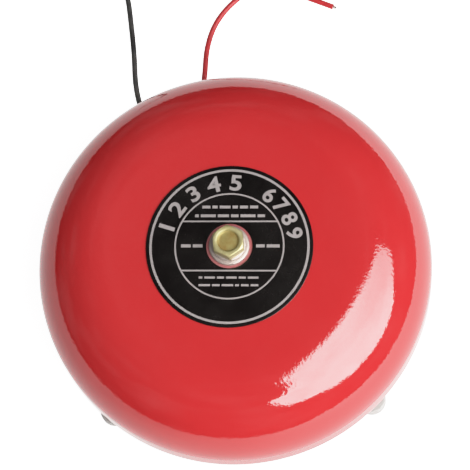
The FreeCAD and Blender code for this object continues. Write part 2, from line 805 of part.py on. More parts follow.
def spur_gear(teeth, bottom, top, x, y, first_tooth):
    """Spur gear; first_tooth is the angle of one tooth's middle, in degrees.

    Each flank is the arc through three points of the involute: at a radius, half the tooth's
    angle is its half at the pitch circle plus the difference of the two involute functions.
    """
    pitch_radius = gear_module * teeth / 2
    pressure = math.radians(pressure_angle)
    base = pitch_radius * math.cos(pressure)
    tip = pitch_radius + addendum * gear_module
    root = pitch_radius - dedendum * gear_module
    half_tooth = math.pi / (2 * teeth) - tooth_backlash / (4 * pitch_radius) + involute(pressure)
    flank_start = max(base, root)

    def flank(radius, side, middle):
        half = half_tooth - involute(math.acos(min(1.0, base / radius)))
        return Vector(*on_arc((x, y), radius, middle + side * math.degrees(half)), bottom)

    edges = []
    steps = [flank_start, (flank_start + tip) / 2, tip]
    for i in range(teeth):
        middle = first_tooth + 360 / teeth * i
        after = middle + 360 / teeth
        rising = [flank(radius, -1, middle) for radius in steps]
        falling = [flank(radius, 1, middle) for radius in reversed(steps)]
        next_foot = flank(flank_start, -1, after)
        edges.append(Part.Arc(*rising).toShape())
        edges.append(Part.LineSegment(rising[-1], falling[0]).toShape())
        edges.append(Part.Arc(*falling).toShape())
        valley = [falling[-1], next_foot]
        if root < flank_start:
            centre = Vector(x, y, bottom)
            feet = [centre + (point - centre) * (root / flank_start) for point in valley]
            valley = [valley[0], feet[0], feet[1], valley[1]]
        edges += [Part.LineSegment(a, b).toShape() for a, b in zip(valley, valley[1:])]
    return Part.Face(Part.Wire(edges)).extrude(Vector(0, 0, top - bottom))


def snail_cam():
    """Archimedean cam: it turns clockwise and draws the follower in by an even spiral.

    The follower's centre lies at cam_low plus the stroke's share of the turn, and the cam's
    edge lies inside that curve, square to it, by the follower's radius and the gap.
    """
    rise = striker_stroke / math.radians(cam_turn)
    inset = follower_radius + cam_gap
    points = []
    for i in range(cam_points + 1):
        degrees = -cam_lead_in + (cam_lead_in + cam_turn + cam_run_out) * i / cam_points
        radius = cam_low + rise * math.radians(degrees)
        slope = math.atan2(rise, radius)
        angle = math.radians(180 + degrees)
        pitch = Vector(radius * math.cos(angle), radius * math.sin(angle), gear_top)
        normal = Vector(math.cos(angle - slope), math.sin(angle - slope), 0)
        points.append(pitch - normal * inset + Vector(cam_axle_x, 0, 0))
    spiral = Part.BSplineCurve()
    spiral.interpolate(points)
    step = Part.LineSegment(points[-1], points[0]).toShape()
    face = Part.Face(Part.Wire([spiral.toShape(), step]))
    return face.extrude(Vector(0, 0, cam_height))


def cam_gear():
    """One moulding: the large gear with the snail cam on its upper face."""
    gear = spur_gear(gear_teeth, gear_bottom, gear_top, cam_axle_x, 0, 90)
    bore = cylinder(axle_radius + bearing_clearance, gear_bottom, cam_top, cam_axle_x)
    return fused([gear, snail_cam()]).cut(bore)


def cam_axle():
    """Steel pin pressed in the base's boss and steadied by the mechanism plate."""
    return cylinder(axle_radius, floor_thick, plate_top, cam_axle_x)


def axle_clip():
    """Open clip that keeps the cam gear down on its boss."""
    clip = ring(axle_clip_radius, axle_radius + press_gap, axle_clip_bottom, axle_clip_top, cam_axle_x)
    mouth = block((cam_axle_x, cam_axle_x + 2 * axle_clip_radius),
                  (-clip_mouth / 2, clip_mouth / 2), (axle_clip_bottom, axle_clip_top))
    return clip.cut(mouth)


def pinion():
    half_pitch = 180 / pinion_teeth
    gear = spur_gear(pinion_teeth, gear_bottom, gear_bottom + pinion_thick, motor_x, motor_y,
                     -90 + half_pitch)
    return gear.cut(cylinder(shaft_radius + press_gap, gear_bottom,
                             gear_bottom + pinion_thick, motor_x, motor_y))


# ---- motor ----------------------------------------------------------------------------------

motor_screw_places = [(motor_x - motor_screw_circle, motor_y),
                      (motor_x + motor_screw_circle, motor_y)]


def motor_can():
    """Drawn steel can, open at the top, with a bearing boss through the plate."""
    can = cylinder(motor_radius, plate_top, can_top, motor_x, motor_y)
    inside = cylinder(motor_radius - can_wall, plate_top + can_wall, can_top, motor_x, motor_y)
    boss = cylinder(front_boss_radius, plate_top - front_boss_height, plate_top, motor_x, motor_y)
    bearing = cylinder(shaft_radius + bearing_clearance, plate_bottom - past, can_top,
                       motor_x, motor_y)
    holes = [cylinder(motor_screw[0] + thread_clearance, plate_top, plate_top + can_wall, x, y)
             for x, y in motor_screw_places]
    return fused([can.cut(inside), boss]).cut([bearing] + holes)


def motor_end_cap():
    """Moulded end cap with a spigot in the can and the upper bearing."""
    lid = cylinder(motor_radius, can_top, end_cap_top, motor_x, motor_y)
    spigot_radius = motor_radius - can_wall - press_gap
    spigot = cylinder(spigot_radius, can_top - end_cap_spigot, can_top, motor_x, motor_y)
    bearing = cylinder(shaft_radius + bearing_clearance, can_top - end_cap_spigot,
                       end_cap_top - end_cap_thick / 2, motor_x, motor_y)
    return fused([lid, spigot]).cut(bearing)


def motor_terminals():
    """Two brass tabs standing on the end cap."""
    thick, wide, tall = terminal_size
    x = motor_x - terminal_offset[0]
    tabs = []
    for side in (-1, 1):
        y = motor_y + side * terminal_offset[1]
        tabs.append(block((x, x + thick), (y - wide / 2, y + wide / 2),
                          (end_cap_top, end_cap_top + tall)))
    return tabs


def motor_magnets():
    """Two arc magnets glued inside the can."""
    outer = motor_radius - can_wall - magnet_gap
    bottom = plate_top + can_wall + magnet_floor_gap
    top = bottom + armature_length + 2 * magnet_overhang
    reach = outer / math.cos(math.radians(magnet_angle / 4)) + past
    corners = [Vector(0, 0, 0)]
    for degrees in (-magnet_angle / 2, 0, magnet_angle / 2):
        corners.append(Vector(*on_arc((0, 0), reach, degrees), 0))
    wedge = Part.Face(Part.makePolygon(corners + [corners[0]])).extrude(Vector(0, 0, top))
    wedge.translate(Vector(motor_x, motor_y, 0))
    shell = ring(outer, outer - magnet_thick, bottom, top, motor_x, motor_y)
    arc = shell.common(wedge)
    return [spun(arc, side, motor_x, motor_y) for side in (0, 180)]


def motor_armature():
    """Three-pole laminated core with its commutator, on the motor's shaft."""
    outer = motor_radius - can_wall - magnet_gap - magnet_thick - armature_gap
    bottom = plate_top + can_wall + magnet_floor_gap + magnet_overhang
    top = bottom + armature_length
    pole = block((0, outer - armature_tip / 2), (-armature_neck / 2, armature_neck / 2),
                 (bottom, top))
    cap = ring(outer, outer - armature_tip, bottom, top)
    gap = block((0, outer + past), (-armature_neck / 2, armature_neck / 2), (bottom, top))
    step = 360 / armature_poles
    cap = cap.cut([spun(gap, step / 2 + step * i) for i in range(armature_poles)])
    core = fused([cylinder(armature_hub, bottom, top), cap]
                 + [spun(pole, step * i) for i in range(armature_poles)])
    commutator_top = can_top - end_cap_spigot - thrust_gap
    core = fused([core, cylinder(commutator_radius, top, commutator_top)])
    core = core.cut(cylinder(shaft_radius + press_gap, bottom, commutator_top))
    core.translate(Vector(motor_x, motor_y, 0))
    return core


def motor_shaft():
    return cylinder(shaft_radius, gear_bottom, end_cap_top - end_cap_thick / 2 - thrust_gap,
                    motor_x, motor_y)


# ---- mechanism plate ------------------------------------------------------------------------

def mechanism_plate():
    """Pressed steel plate that holds the motor, with a tab bent down to guide the rod."""
    corners = [plate_posts[0], plate_open_corner, plate_posts[1], plate_posts[2]]
    sheet = belt([(x, y, plate_corner_radius) for x, y in corners], plate_bottom, plate_top)
    window = block((tab_x - window_length, tab_x), (-tab_half_width, tab_half_width),
                   (plate_bottom, plate_top))
    tab = block((tab_x, tab_end), (-tab_half_width, tab_half_width),
                (rod_height - tab_below_rod, plate_top))
    holes = [cylinder(plate_screw[0] + screw_clearance, plate_bottom, plate_top, x, y)
             for x, y in plate_posts]
    holes += [cylinder(motor_screw[0] + screw_clearance, plate_bottom, plate_top, x, y)
              for x, y in motor_screw_places]
    holes.append(cylinder(front_boss_radius + boss_fit, plate_bottom, plate_top, motor_x, motor_y))
    holes.append(cylinder(axle_radius + boss_fit, plate_bottom, plate_top, cam_axle_x))
    holes.append(bar(rod_radius + rod_clearance, tab_x, tab_end))
    return fused([sheet.cut(window), tab]).cut(holes)


# ---- circuit board --------------------------------------------------------------------------

def circuit_board():
    """Board shaped to the dish, on three posts."""
    right = -(pillar_boss_radius + board_post_gap)
    corner = -math.sqrt(board_radius ** 2 - board_half_width ** 2)
    wide = board_half_width
    shape = outline(Vector(right, -wide, board_height), Vector(right, wide, board_height),
                    Vector(corner, wide, board_height),
                    (Vector(-board_radius, 0, board_height), Vector(corner, -wide, board_height)),
                    Vector(right, -wide, board_height))
    holes = [cylinder(board_screw[0] + screw_clearance, board_height, board_top, x, y)
             for x, y in board_posts]
    return Part.Face(shape).extrude(Vector(0, 0, board_thick)).cut(holes)


def film_capacitor():
    """Boxed dropper capacitor with rounded upright edges."""
    length, width, height = film_capacitor_size
    x, y = film_capacitor_place
    box = block((x - length / 2, x + length / 2), (y - width / 2, y + width / 2),
                (board_top, board_top + height))
    upright = [edge for edge in box.Edges if edge.BoundBox.ZLength > height / 2]
    return box.makeFillet(film_capacitor_round, upright)


def electrolytic():
    """Smoothing capacitor: a can with a crimped groove near its foot."""
    radius = electrolytic_radius
    top = electrolytic_height
    body = turned((0, 0), (radius, 0), (radius, groove_start),
                  (radius - groove_depth, groove_start + groove_depth),
                  (radius, groove_start + 2 * groove_depth),
                  (radius, top - electrolytic_edge), (radius - electrolytic_edge, top),
                  (0, top), (0, 0))
    body.translate(Vector(*electrolytic_place, board_top))
    return body


def bridge_rectifier():
    """Round moulded bridge rectifier with a keying flat."""
    x, y = rectifier_place
    top = board_top + rectifier_height
    body = cylinder(rectifier_radius, board_top, top, x, y)
    flat = block((x + rectifier_flat, x + rectifier_radius + past),
                 (y - rectifier_radius, y + rectifier_radius), (board_top, top))
    return body.cut(flat)


def resistor(x, y):
    """Round resistor lying along Y on its two bent wires."""
    z = board_top + component_standoff + resistor_radius
    half = resistor_length / 2
    body = Part.makeCylinder(resistor_radius, resistor_length, Vector(x, y - half, z), Y_AXIS)
    reach = half + resistor_overhang
    wire = Part.makeCylinder(resistor_lead_radius, 2 * reach, Vector(x, y - reach, z), Y_AXIS)
    inset = reach - resistor_lead_radius
    legs = [cylinder(resistor_lead_radius, board_top, z, x, y + side * inset)
            for side in (-1, 1)]
    return fused([body, wire] + legs)


# ---- leads ----------------------------------------------------------------------------------

def at_gland(radial, sideways):
    """Point at a distance from the axis through the gland, as an (x, y, z) triple."""
    point = gland_out * radial + gland_left * sideways
    return (point.x, point.y, gland_height)


# Hand-laid routes over the surface that the bell lies on; each starts at the gland's face.
on_floor = lead_radius + lead_floor_gap
black_route = [
    at_gland(gland_face, lead_spacing / 2), at_gland(gland_face + lead_straight, lead_spacing / 2),
    (-29.9, 62.2, 3.2), (-36.9, 71.4, on_floor), (-39.6, 83.5, on_floor), (-39.75, 97.0, on_floor),
    (-40.9, 111.5, on_floor), (-42.2, 124.8, on_floor), (-48.5, 136.2, on_floor),
    (-60.0, 142.4, on_floor), (-72.5, 142.7, on_floor)]
red_route = [
    at_gland(gland_face, -lead_spacing / 2), at_gland(gland_face + lead_straight, -lead_spacing / 2),
    (-18.6, 64.9, 3.2), (-13.2, 75.6, on_floor), (-11.3, 87.0, on_floor), (-10.4, 98.5, on_floor),
    (-6.6, 109.5, on_floor), (1.6, 119.0, on_floor), (13.5, 125.8, on_floor),
    (27.8, 119.9, on_floor), (41.5, 113.5, on_floor)]

# Inside, the leads rise over the board's edge and drop to their solder pads.
tail_height = board_top + tail_rise
black_tail = [
    at_gland(gland_back, lead_spacing / 2), at_gland(gland_back - lead_straight, lead_spacing / 2),
    (-21.5, 27.5, tail_height), (-23.8, 19.2, tail_height), (-23.8, 19.2, board_top)]
red_tail = [
    at_gland(gland_back, -lead_spacing / 2), at_gland(gland_back - lead_straight, -lead_spacing / 2),
    (-16.0, 28.5, tail_height), (-18.8, 19.6, tail_height), (-18.8, 19.6, board_top)]


def lead_gland():
    """Rubber gland: an oval neck in the wall's slot between two oval flanges."""
    return fused([gland_slot(pad_inner, pad_outer, -press_gap),
                  gland_slot(pad_outer, gland_face, gland_flange_margin),
                  gland_slot(gland_back, pad_inner, gland_flange_margin)])


def bare_end(route):
    """Tinned strands past the end of a lead's insulation."""
    last = Vector(*route[-1])
    way = (last - Vector(*route[-2])).normalize()
    return Part.makeCylinder(strand_radius, strand_length, last, way)


def motor_wire(side):
    """Wire from the board up and over to one of the motor's terminals."""
    tab_y = motor_y + side * terminal_offset[1]
    tab_face = motor_x - terminal_offset[0]
    run_height = end_cap_top + terminal_size[2] / 2
    foot_x, foot_shift = motor_wire_foot
    turn_x, turn_shift, turn_drop = motor_wire_turn
    knee = board_top + (run_height - board_top) / 2
    return [(foot_x, tab_y + foot_shift, board_top), (foot_x, tab_y + foot_shift, knee),
            (turn_x, tab_y + turn_shift, run_height - turn_drop),
            (motor_wire_level_x, tab_y, run_height), (tab_face, tab_y, run_height)]


# ---- build ----------------------------------------------------------------------------------

os.makedirs("parts", exist_ok=True)

save("gong", gong())
save("face_plate", face_plate())
save("flat_washer", flat_washer())
save("spring_washer", spring_washer())
save("gong_bolt", gong_bolt())

save("gong_pillar", gong_pillar())
save("pillar_seal", pillar_seal())
save("seat_washer", seat_washer())

save("base_casting", base_casting())
save("base_gasket", base_gasket())
save("mechanism_cover", mechanism_cover())
cover_seat = cover_bottom + cover_flange_thick
save("cover_screws", *[spun(pan_screw(cover_screw, ear_centre, 0, cover_seat), angle)
                       for angle in diagonal_angles])

save("striker_bush", striker_bush())
save("striker_rod", striker_rod())
save("striker_head", striker_head())
save("striker_yoke", striker_yoke())
save("follower_pin", follower_pin())
save("stop_clip", stop_clip())
save("striker_spring", striker_spring())

save("cam_gear", cam_gear())
save("cam_axle", cam_axle())
save("axle_clip", axle_clip())
save("pinion", pinion())

save("motor_can", motor_can())
save("motor_end_cap", motor_end_cap())
save("motor_terminals", *motor_terminals())
save("motor_magnets", *motor_magnets())
save("motor_armature", motor_armature())
save("motor_shaft", motor_shaft())
save("motor_screws", *[pan_screw(motor_screw, x, y, plate_bottom, -1)
                       for x, y in motor_screw_places])

save("mechanism_plate", mechanism_plate())
save("plate_screws", *[pan_screw(plate_screw, x, y, plate_top) for x, y in plate_posts])

save("circuit_board", circuit_board())
save("board_screws", *[pan_screw(board_screw, x, y, board_top) for x, y in board_posts])
save("film_capacitor", film_capacitor())
save("electrolytic_capacitor", electrolytic())
save("bridge_rectifier", bridge_rectifier())
save("resistors", *[resistor(x, y) for x, y in resistor_places])

save("lead_gland", lead_gland())
save("black_lead", tube(black_route, lead_radius, "black_lead"))
save("red_lead", tube(red_route, lead_radius, "red_lead"))
save("black_lead_end", bare_end(black_route))
save("red_lead_end", bare_end(red_route))
save("black_lead_tail", tube(black_tail, lead_radius, "black_lead_tail"))
save("red_lead_tail", tube(red_tail, lead_radius, "red_lead_tail"))
save("motor_wires", *[tube(motor_wire(side), motor_wire_radius, "motor_wire")
                      for side in (-1, 1)])
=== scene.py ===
import math

import bmesh
import bpy
import numpy as np
from mathutils import Matrix, Vector


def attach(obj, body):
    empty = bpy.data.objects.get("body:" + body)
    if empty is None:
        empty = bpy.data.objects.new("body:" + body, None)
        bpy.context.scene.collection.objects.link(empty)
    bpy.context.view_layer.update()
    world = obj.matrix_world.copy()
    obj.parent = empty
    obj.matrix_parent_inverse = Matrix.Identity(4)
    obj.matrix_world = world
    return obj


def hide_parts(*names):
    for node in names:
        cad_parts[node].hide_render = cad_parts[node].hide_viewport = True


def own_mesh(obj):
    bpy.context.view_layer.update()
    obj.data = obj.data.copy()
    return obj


# A motor-driven fire alarm bell on its back: a red enamelled gong with a printed face plate, held
# by one bolt over a sealed striker mechanism on a light grey cast base, with two supply leads.
# The scene is in metres; the sizes of new pieces are written in millimetres and scaled as made.

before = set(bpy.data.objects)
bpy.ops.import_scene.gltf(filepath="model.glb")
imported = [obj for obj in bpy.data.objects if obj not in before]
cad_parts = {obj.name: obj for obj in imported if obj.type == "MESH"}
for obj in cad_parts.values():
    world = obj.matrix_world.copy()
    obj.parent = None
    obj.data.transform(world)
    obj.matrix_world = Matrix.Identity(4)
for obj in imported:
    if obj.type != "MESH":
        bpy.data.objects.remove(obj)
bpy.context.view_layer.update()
MM = 0.001


# ---- Viewpoint ------------------------------------------------------------------------------
# A long lens looks down on the gong from above, a little from the side away from the leads and
# rolled by three degrees.

def linked(name, data):
    """New object made of some data, and put in the scene."""
    made = bpy.data.objects.new(name, data)
    bpy.context.scene.collection.objects.link(made)
    return made


viewpoint_lens = bpy.data.cameras.new("viewpoint")
viewpoint_lens.lens = 166.0
viewpoint_lens.sensor_width = 36.0
viewpoint = linked("viewpoint", viewpoint_lens)
eye = Vector((0.05211, -0.22289, 0.81855))
aim = Vector((0.00220, 0.00420, 0.052))
backward = (eye - aim).normalized()
level = Vector((0.99872, -0.05059, 0.0))
rightward = (level - backward * level.dot(backward)).normalized()
axes = Matrix((rightward, backward.cross(rightward), backward)).transposed()
viewpoint.matrix_world = Matrix.Translation(eye) @ axes.to_4x4()
bpy.context.scene.camera = viewpoint


# ---- Supply leads ---------------------------------------------------------------------------
# Two limp single-core leads, black and red, 2.2 mm over soft PVC. They leave the rubber gland
# in the base's wall, drop to the table and lie on it in loose curves. Each is cut off square,
# with a stub of tinned strands at its end.

def feed(tree, socket, value):
    """Give a socket a constant, or a link where the value is a (node, output) pair."""
    if isinstance(value, tuple) and isinstance(value[0], bpy.types.Node):
        tree.links.new(value[0].outputs[value[1]], socket)
    else:
        socket.default_value = value


def place(tree, kind, feeds, **settings):
    """One shader node in a tree, with its settings and what feeds each named input."""
    node = tree.nodes.new("ShaderNode" + kind)
    for setting, value in settings.items():
        setattr(node, setting, value)
    for socket, value in feeds.items():
        feed(tree, node.inputs[socket], value)
    return node


def mixed(tree, share, first, second):
    """Colour that goes from first to second with the share, as a (node, output) pair."""
    return place(tree, "Mix", {0: share, 6: first, 7: second}, data_type="RGBA"), 2


def mixed_value(tree, share, first, second):
    """Number that goes from first to second with the share, as a (node, output) pair."""
    return place(tree, "Mix", {0: share, 2: first, 3: second}, data_type="FLOAT"), 0


def ramp(tree, value, low, high, start=0.0, end=1.0):
    """Number that goes from start to end as the value goes from low to high, kept between them."""
    return place(tree, "MapRange", {"Value": value, "From Min": low, "From Max": high,
                                    "To Min": start, "To Max": end}), "Result"


def combined(tree, first, second, operation="ADD"):
    """Two numbers added, or put together by another operation."""
    return place(tree, "Math", {0: first, 1: second}, operation=operation), "Value"


def cloud(tree, vector, scale, detail=3.0, roughness=0.5):
    """Noise of one size over a surface, as a (node, output) pair."""
    return place(tree, "TexNoise", {"Vector": vector, "Scale": scale, "Detail": detail,
                                    "Roughness": roughness}), 0


def effect(name, inputs, outputs):
    """Empty node group with named sockets of given kinds, and its input and output nodes."""
    group = bpy.data.node_groups.new(name, "ShaderNodeTree")
    for way, sockets in (("INPUT", inputs), ("OUTPUT", outputs)):
        for label, kind in sockets.items():
            group.interface.new_socket(label, in_out=way, socket_type="NodeSocket" + kind)
    return group, group.nodes.new("NodeGroupInput"), group.nodes.new("NodeGroupOutput")


def mottle_effect():
    """Two colours and two roughnesses, mixed in soft cloudy patches of two sizes."""
    group, given, result = effect(
        "mottle", {"Vector": "Vector", "Patches": "Float", "First": "Color", "Second": "Color",
                   "Smooth": "Float", "Rough": "Float"},
        {"Color": "Color", "Roughness": "Float"})
    spot, size = (given, "Vector"), (given, "Patches")
    broad = ramp(group, cloud(group, spot, size, 5.0, 0.6), 0.32, 0.68)
    feed(group, result.inputs["Color"], mixed(group, broad, (given, "First"), (given, "Second")))
    fine = cloud(group, spot, combined(group, size, 5.0, "MULTIPLY"))
    feed(group, result.inputs["Roughness"],
         ramp(group, fine, 0.3, 0.7, (given, "Smooth"), (given, "Rough")))
    return group


def dust_effect():
    """Thin settled dust: it lightens and dulls what faces up, in uneven patches and specks."""
    group, given, result = effect(
        "settled_dust",
        {"Vector": "Vector", "Color": "Color", "Roughness": "Float", "Amount": "Float"},
        {"Color": "Color", "Roughness": "Float"})
    facing = place(group, "TexCoord", {})
    parts = place(group, "SeparateXYZ", {"Vector": (facing, "Normal")})
    upward = ramp(group, (parts, "Z"), 0.2, 1.0)
    patches = ramp(group, cloud(group, (given, "Vector"), 45.0, 6.0, 0.65), 0.42, 0.75)
    dots = place(group, "TexVoronoi", {"Vector": (given, "Vector"), "Scale": 650.0})
    specks = ramp(group, (dots, "Distance"), 0.13, 0.06, 0.0, 0.7)
    lying = combined(group, combined(group, patches, specks), upward, "MULTIPLY")
    share = ramp(group, combined(group, lying, (given, "Amount"), "MULTIPLY"), 0.0, 1.0)
    feed(group, result.inputs["Color"],
         mixed(group, share, (given, "Color"), (0.42, 0.39, 0.36, 1)))
    feed(group, result.inputs["Roughness"], mixed_value(group, share, (given, "Roughness"), 0.85))
    return group


def relief_effect(name):
    """Empty relief: its tree, the vector and scale that it is given, and its height's socket."""
    group, given, result = effect(name, {"Vector": "Vector", "Scale": "Float"}, {"Height": "Float"})
    return group, (given, "Vector"), (given, "Scale"), result.inputs["Height"]


def grain_effect():
    """Relief of an even grain, with a second grain a third of its size."""
    group, spot, scale, height = relief_effect("grain")
    fine = cloud(group, spot, combined(group, scale, 3.1, "MULTIPLY"), 1.0)
    feed(group, height, mixed_value(group, 0.35, cloud(group, spot, scale, 2.0), fine))
    return group


MOTTLE = mottle_effect()
DUST = dust_effect()
GRAIN = grain_effect()


def finish(name, first, second, smooth, rough, patches, dust, reliefs, centre=None,
           turn=(0, 0, 0), **constants):
    """Mottled, lightly dusted material.

    Each relief is (effect, scale, depth in mm) and adds to the bump; centre and turn lay the
    pattern on the piece; the constants are set on the shader's own sockets.
    """
    material = bpy.data.materials.new(name)
    material.use_nodes = True
    tree = material.node_tree
    shader = tree.nodes["Principled BSDF"]
    spot = (place(tree, "TexCoord", {}), "Object")
    if centre:
        spot = (place(tree, "Mapping", {
            "Vector": spot, "Location": tuple(c * MM for c in centre),
            "Rotation": tuple(math.radians(t) for t in turn)}, vector_type="TEXTURE"), "Vector")
    mottle = place(tree, "Group", {"Vector": spot, "Patches": patches, "First": (*first, 1),
                                   "Second": (*second, 1), "Smooth": smooth, "Rough": rough},
                   node_tree=MOTTLE)
    dusty = place(tree, "Group", {"Vector": spot, "Color": (mottle, "Color"),
                                  "Roughness": (mottle, "Roughness"), "Amount": dust},
                  node_tree=DUST)
    feed(tree, shader.inputs["Base Color"], (dusty, "Color"))
    feed(tree, shader.inputs["Roughness"], (dusty, "Roughness"))
    for relief, scale, depth in reliefs:
        texture = place(tree, "Group", {"Vector": spot, "Scale": scale}, node_tree=relief)
        bump = place(tree, "Bump", {"Height": (texture, "Height"), "Distance": depth * MM})
        if shader.inputs["Normal"].is_linked:
            before = shader.inputs["Normal"].links[0].from_node
            feed(tree, bump.inputs["Normal"], (before, "Normal"))
        feed(tree, shader.inputs["Normal"], (bump, "Normal"))
    for socket, value in constants.items():
        shader.inputs[socket.replace("_", " ")].default_value = value
    return material


def grid_faces(rows, columns):
    """Four-sided faces of a grid numbered row by row, each row closed into a ring."""
    i, j = np.meshgrid(np.arange(rows - 1), np.arange(columns), indexing="ij")
    k = (j + 1) % columns
    corners = (i * columns + j, i * columns + k, (i + 1) * columns + k, (i + 1) * columns + j)
    return np.stack(corners, axis=-1).reshape(-1, 4)


def piece(name, shells, finishes, body, crease=35.0):
    """Mesh object riding on a body.

    A shell is (grid of points in mm, faces, number of its finish). Seams and poles are merged
    and the faces turned outwards; edges sharper than the crease stay sharp.
    """
    points = [np.asarray(shell[0], float).reshape(-1, 3) for shell in shells]
    starts = np.cumsum([0] + [len(p) for p in points[:-1]])
    faces = [face for shell, start in zip(shells, starts)
             for face in (np.asarray(shell[1]) + start).tolist()]
    mesh = bpy.data.meshes.new(name)
    mesh.from_pydata((np.concatenate(points) * MM).tolist(), [], faces)
    numbers = np.concatenate([np.full(len(shell[1]), shell[2]) for shell in shells])
    mesh.polygons.foreach_set("material_index", numbers.astype(np.int32))
    for material in finishes:
        mesh.materials.append(material)
    work = bmesh.new()
    work.from_mesh(mesh)
    bmesh.ops.remove_doubles(work, verts=work.verts, dist=2e-7)
    bmesh.ops.recalc_face_normals(work, faces=work.faces)
    work.to_mesh(mesh)
    work.free()
    mesh.shade_smooth()
    mesh.set_sharp_from_angle(angle=math.radians(crease))
    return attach(linked(name, mesh), body)


def twisted_strands(start, way, length, count=6):
    """One strand round which the others wind: each axis is a helix about the lead's line,
    start + way * s + lay radius * (cos(turn) side + sin(turn) up), opening a little at its end.
    """
    side = np.cross((0.0, 0.0, 1.0), way)
    side /= np.linalg.norm(side)
    up = np.cross(way, side)
    strand, lay, turns, opening, rounded, rows, around = 0.19, 0.4, 0.3, 0.18, 0.03, 40, 12
    s = np.linspace(0.0, 1.0, rows)
    angle = np.linspace(0, 2 * math.pi, around, endpoint=False)
    circle = np.cos(angle)[:, None] * side + np.sin(angle)[:, None] * up
    shells = []
    for i in range(count + 1):
        radius = 0.0 if i == count else lay * (1 + opening * s ** 3 * math.cos(5 * i))
        wind = 2 * math.pi * (turns * s + i / count)
        reach = length * (1 - 0.05 * (i % 3))
        axis = (start + np.outer(s * reach, way)
                + (radius * np.cos(wind))[:, None] * side + (radius * np.sin(wind))[:, None] * up)
        past = np.clip((s - 1) / rounded + 1, 0, 1)
        thick = strand * np.sqrt(1 - past ** 2)
        points = axis[:, None, :] + thick[:, None, None] * circle[None, :, :]
        shells.append((points, grid_faces(rows, around), 0))
        shells.append((points[0], [list(range(around))], 0))
    return shells


sheath_diameter, strands_hidden, strands_long = 2.2, 0.5, 1.95


def supply_lead(name, route, sheath, strands_finish, nodes):
    """Curve through the lead's route, and its bare strands; both stand for their CAD nodes."""
    curve = bpy.data.curves.new(name, "CURVE")
    curve.dimensions = "3D"
    curve.bevel_depth = sheath_diameter / 2 * MM
    curve.bevel_resolution = 6
    curve.resolution_u = 24
    curve.use_fill_caps = True
    spline = curve.splines.new("NURBS")
    spline.points.add(len(route) - 1)
    for point, where in zip(spline.points, route):
        point.co = (*where, 1)
    spline.order_u = 3
    spline.use_endpoint_u = True
    curve.materials.append(sheath)
    lead = linked(name, curve)
    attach(lead, "housing")
    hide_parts(nodes[0])
    last, before = np.array(route[-1]) / MM, np.array(route[-2]) / MM
    way = (last - before) / np.linalg.norm(last - before)
    strands = piece(name + "_strands",
                    twisted_strands(last - way * strands_hidden, way, strands_long),
                    [strands_finish], "housing")
    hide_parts(nodes[1])
    return lead, strands


black_pvc = finish("black_pvc", (0.016, 0.015, 0.015), (0.026, 0.025, 0.024), 0.34, 0.5,
                   patches=90.0, dust=0.25, reliefs=[(GRAIN, 1500.0, 0.01)])
red_pvc = finish("red_pvc", (0.52, 0.020, 0.026), (0.44, 0.016, 0.020), 0.32, 0.46,
                 patches=90.0, dust=0.08, reliefs=[(GRAIN, 1500.0, 0.01)])
tinned_copper = finish("tinned_copper", (0.74, 0.72, 0.69), (0.66, 0.58, 0.50), 0.25, 0.45,
                       patches=900.0, dust=0.1, reliefs=[(GRAIN, 4000.0, 0.01)],
                       Metallic=1.0)

lying = 0.00115
black_lead, black_strands = supply_lead(
    "black_supply_lead",
    [(-0.02105, 0.04650, 0.0065), (-0.02405, 0.05392, 0.0065), (-0.0299, 0.0622, 0.0032),
     (-0.0369, 0.0714, lying), (-0.0396, 0.0835, lying), (-0.03975, 0.0970, lying),
     (-0.0409, 0.1115, lying), (-0.0422, 0.1248, lying), (-0.0485, 0.1362, lying),
     (-0.0600, 0.1424, lying), (-0.0725, 0.1427, lying)],
    black_pvc, tinned_copper, ("black_lead", "black_lead_end"))

red_lead, red_strands = supply_lead(
    "red_supply_lead",
    [(-0.01716, 0.04807, 0.0065), (-0.02016, 0.05549, 0.0065), (-0.0186, 0.0649, 0.0032),
     (-0.0132, 0.0756, lying), (-0.0113, 0.0870, lying), (-0.0104, 0.0985, lying),
     (-0.0066, 0.1095, lying), (0.0016, 0.1190, lying), (0.0135, 0.1258, lying),
     (0.0278, 0.1199, lying), (0.0415, 0.1135, lying)],
    red_pvc, tinned_copper, ("red_lead", "red_lead_end"))


# ---- Gong -----------------------------------------------------------------------------------
# A six-inch bowl pressed from 1.5 mm steel: flat face, deep rounded shoulder, short straight
# side and a smoothed rim. Gloss red stove enamel outside, thinner and duller inside, and rubbed
# pale and dusty where the washers clamp it; that ring is also painted darker, as painted shade
# from the washers and the face plate's edge.

def arc(centre, radius, start, end, steps):
    """Points of a circular arc in a profile, from one angle to another in degrees."""
    angle = np.radians(np.linspace(start, end, steps))
    return np.stack([centre[0] + radius * np.cos(angle),
                     centre[1] + radius * np.sin(angle)], axis=-1)


def pressed_bend(edge, top, bend, ease, steps=110):
    """Profile of a pressed bend from a flat face down to an upright side, and its heading.

    The curvature rises evenly from nothing to 1 / bend over the ease length. The heading is its
    running sum, and radius and height are the running sums of the heading's cosine and sine.
    """
    length = math.pi / 2 * bend + ease / 2
    s = np.linspace(0, length, steps)
    heading = np.where(s < ease, s ** 2 / (2 * ease * bend), (s - ease / 2) / bend)
    middle = (heading[1:] + heading[:-1]) / 2
    steps_out = np.column_stack([np.cos(middle), -np.sin(middle)]) * length / (steps - 1)
    points = np.concatenate([[(0.0, 0.0)], np.cumsum(steps_out, axis=0)])
    return points + (edge - points[-1, 0], top), heading


def turned(profile, sides=360):
    """Profile of (radius, height) turned about the gong's axis: (r cos a, r sin a, z)."""
    radius, height = np.asarray(profile, float).T
    angle = np.linspace(0, 2 * math.pi, sides, endpoint=False)
    return np.stack([np.outer(radius, np.cos(angle)), np.outer(radius, np.sin(angle)),
                     np.outer(height, np.ones(sides))], axis=-1)


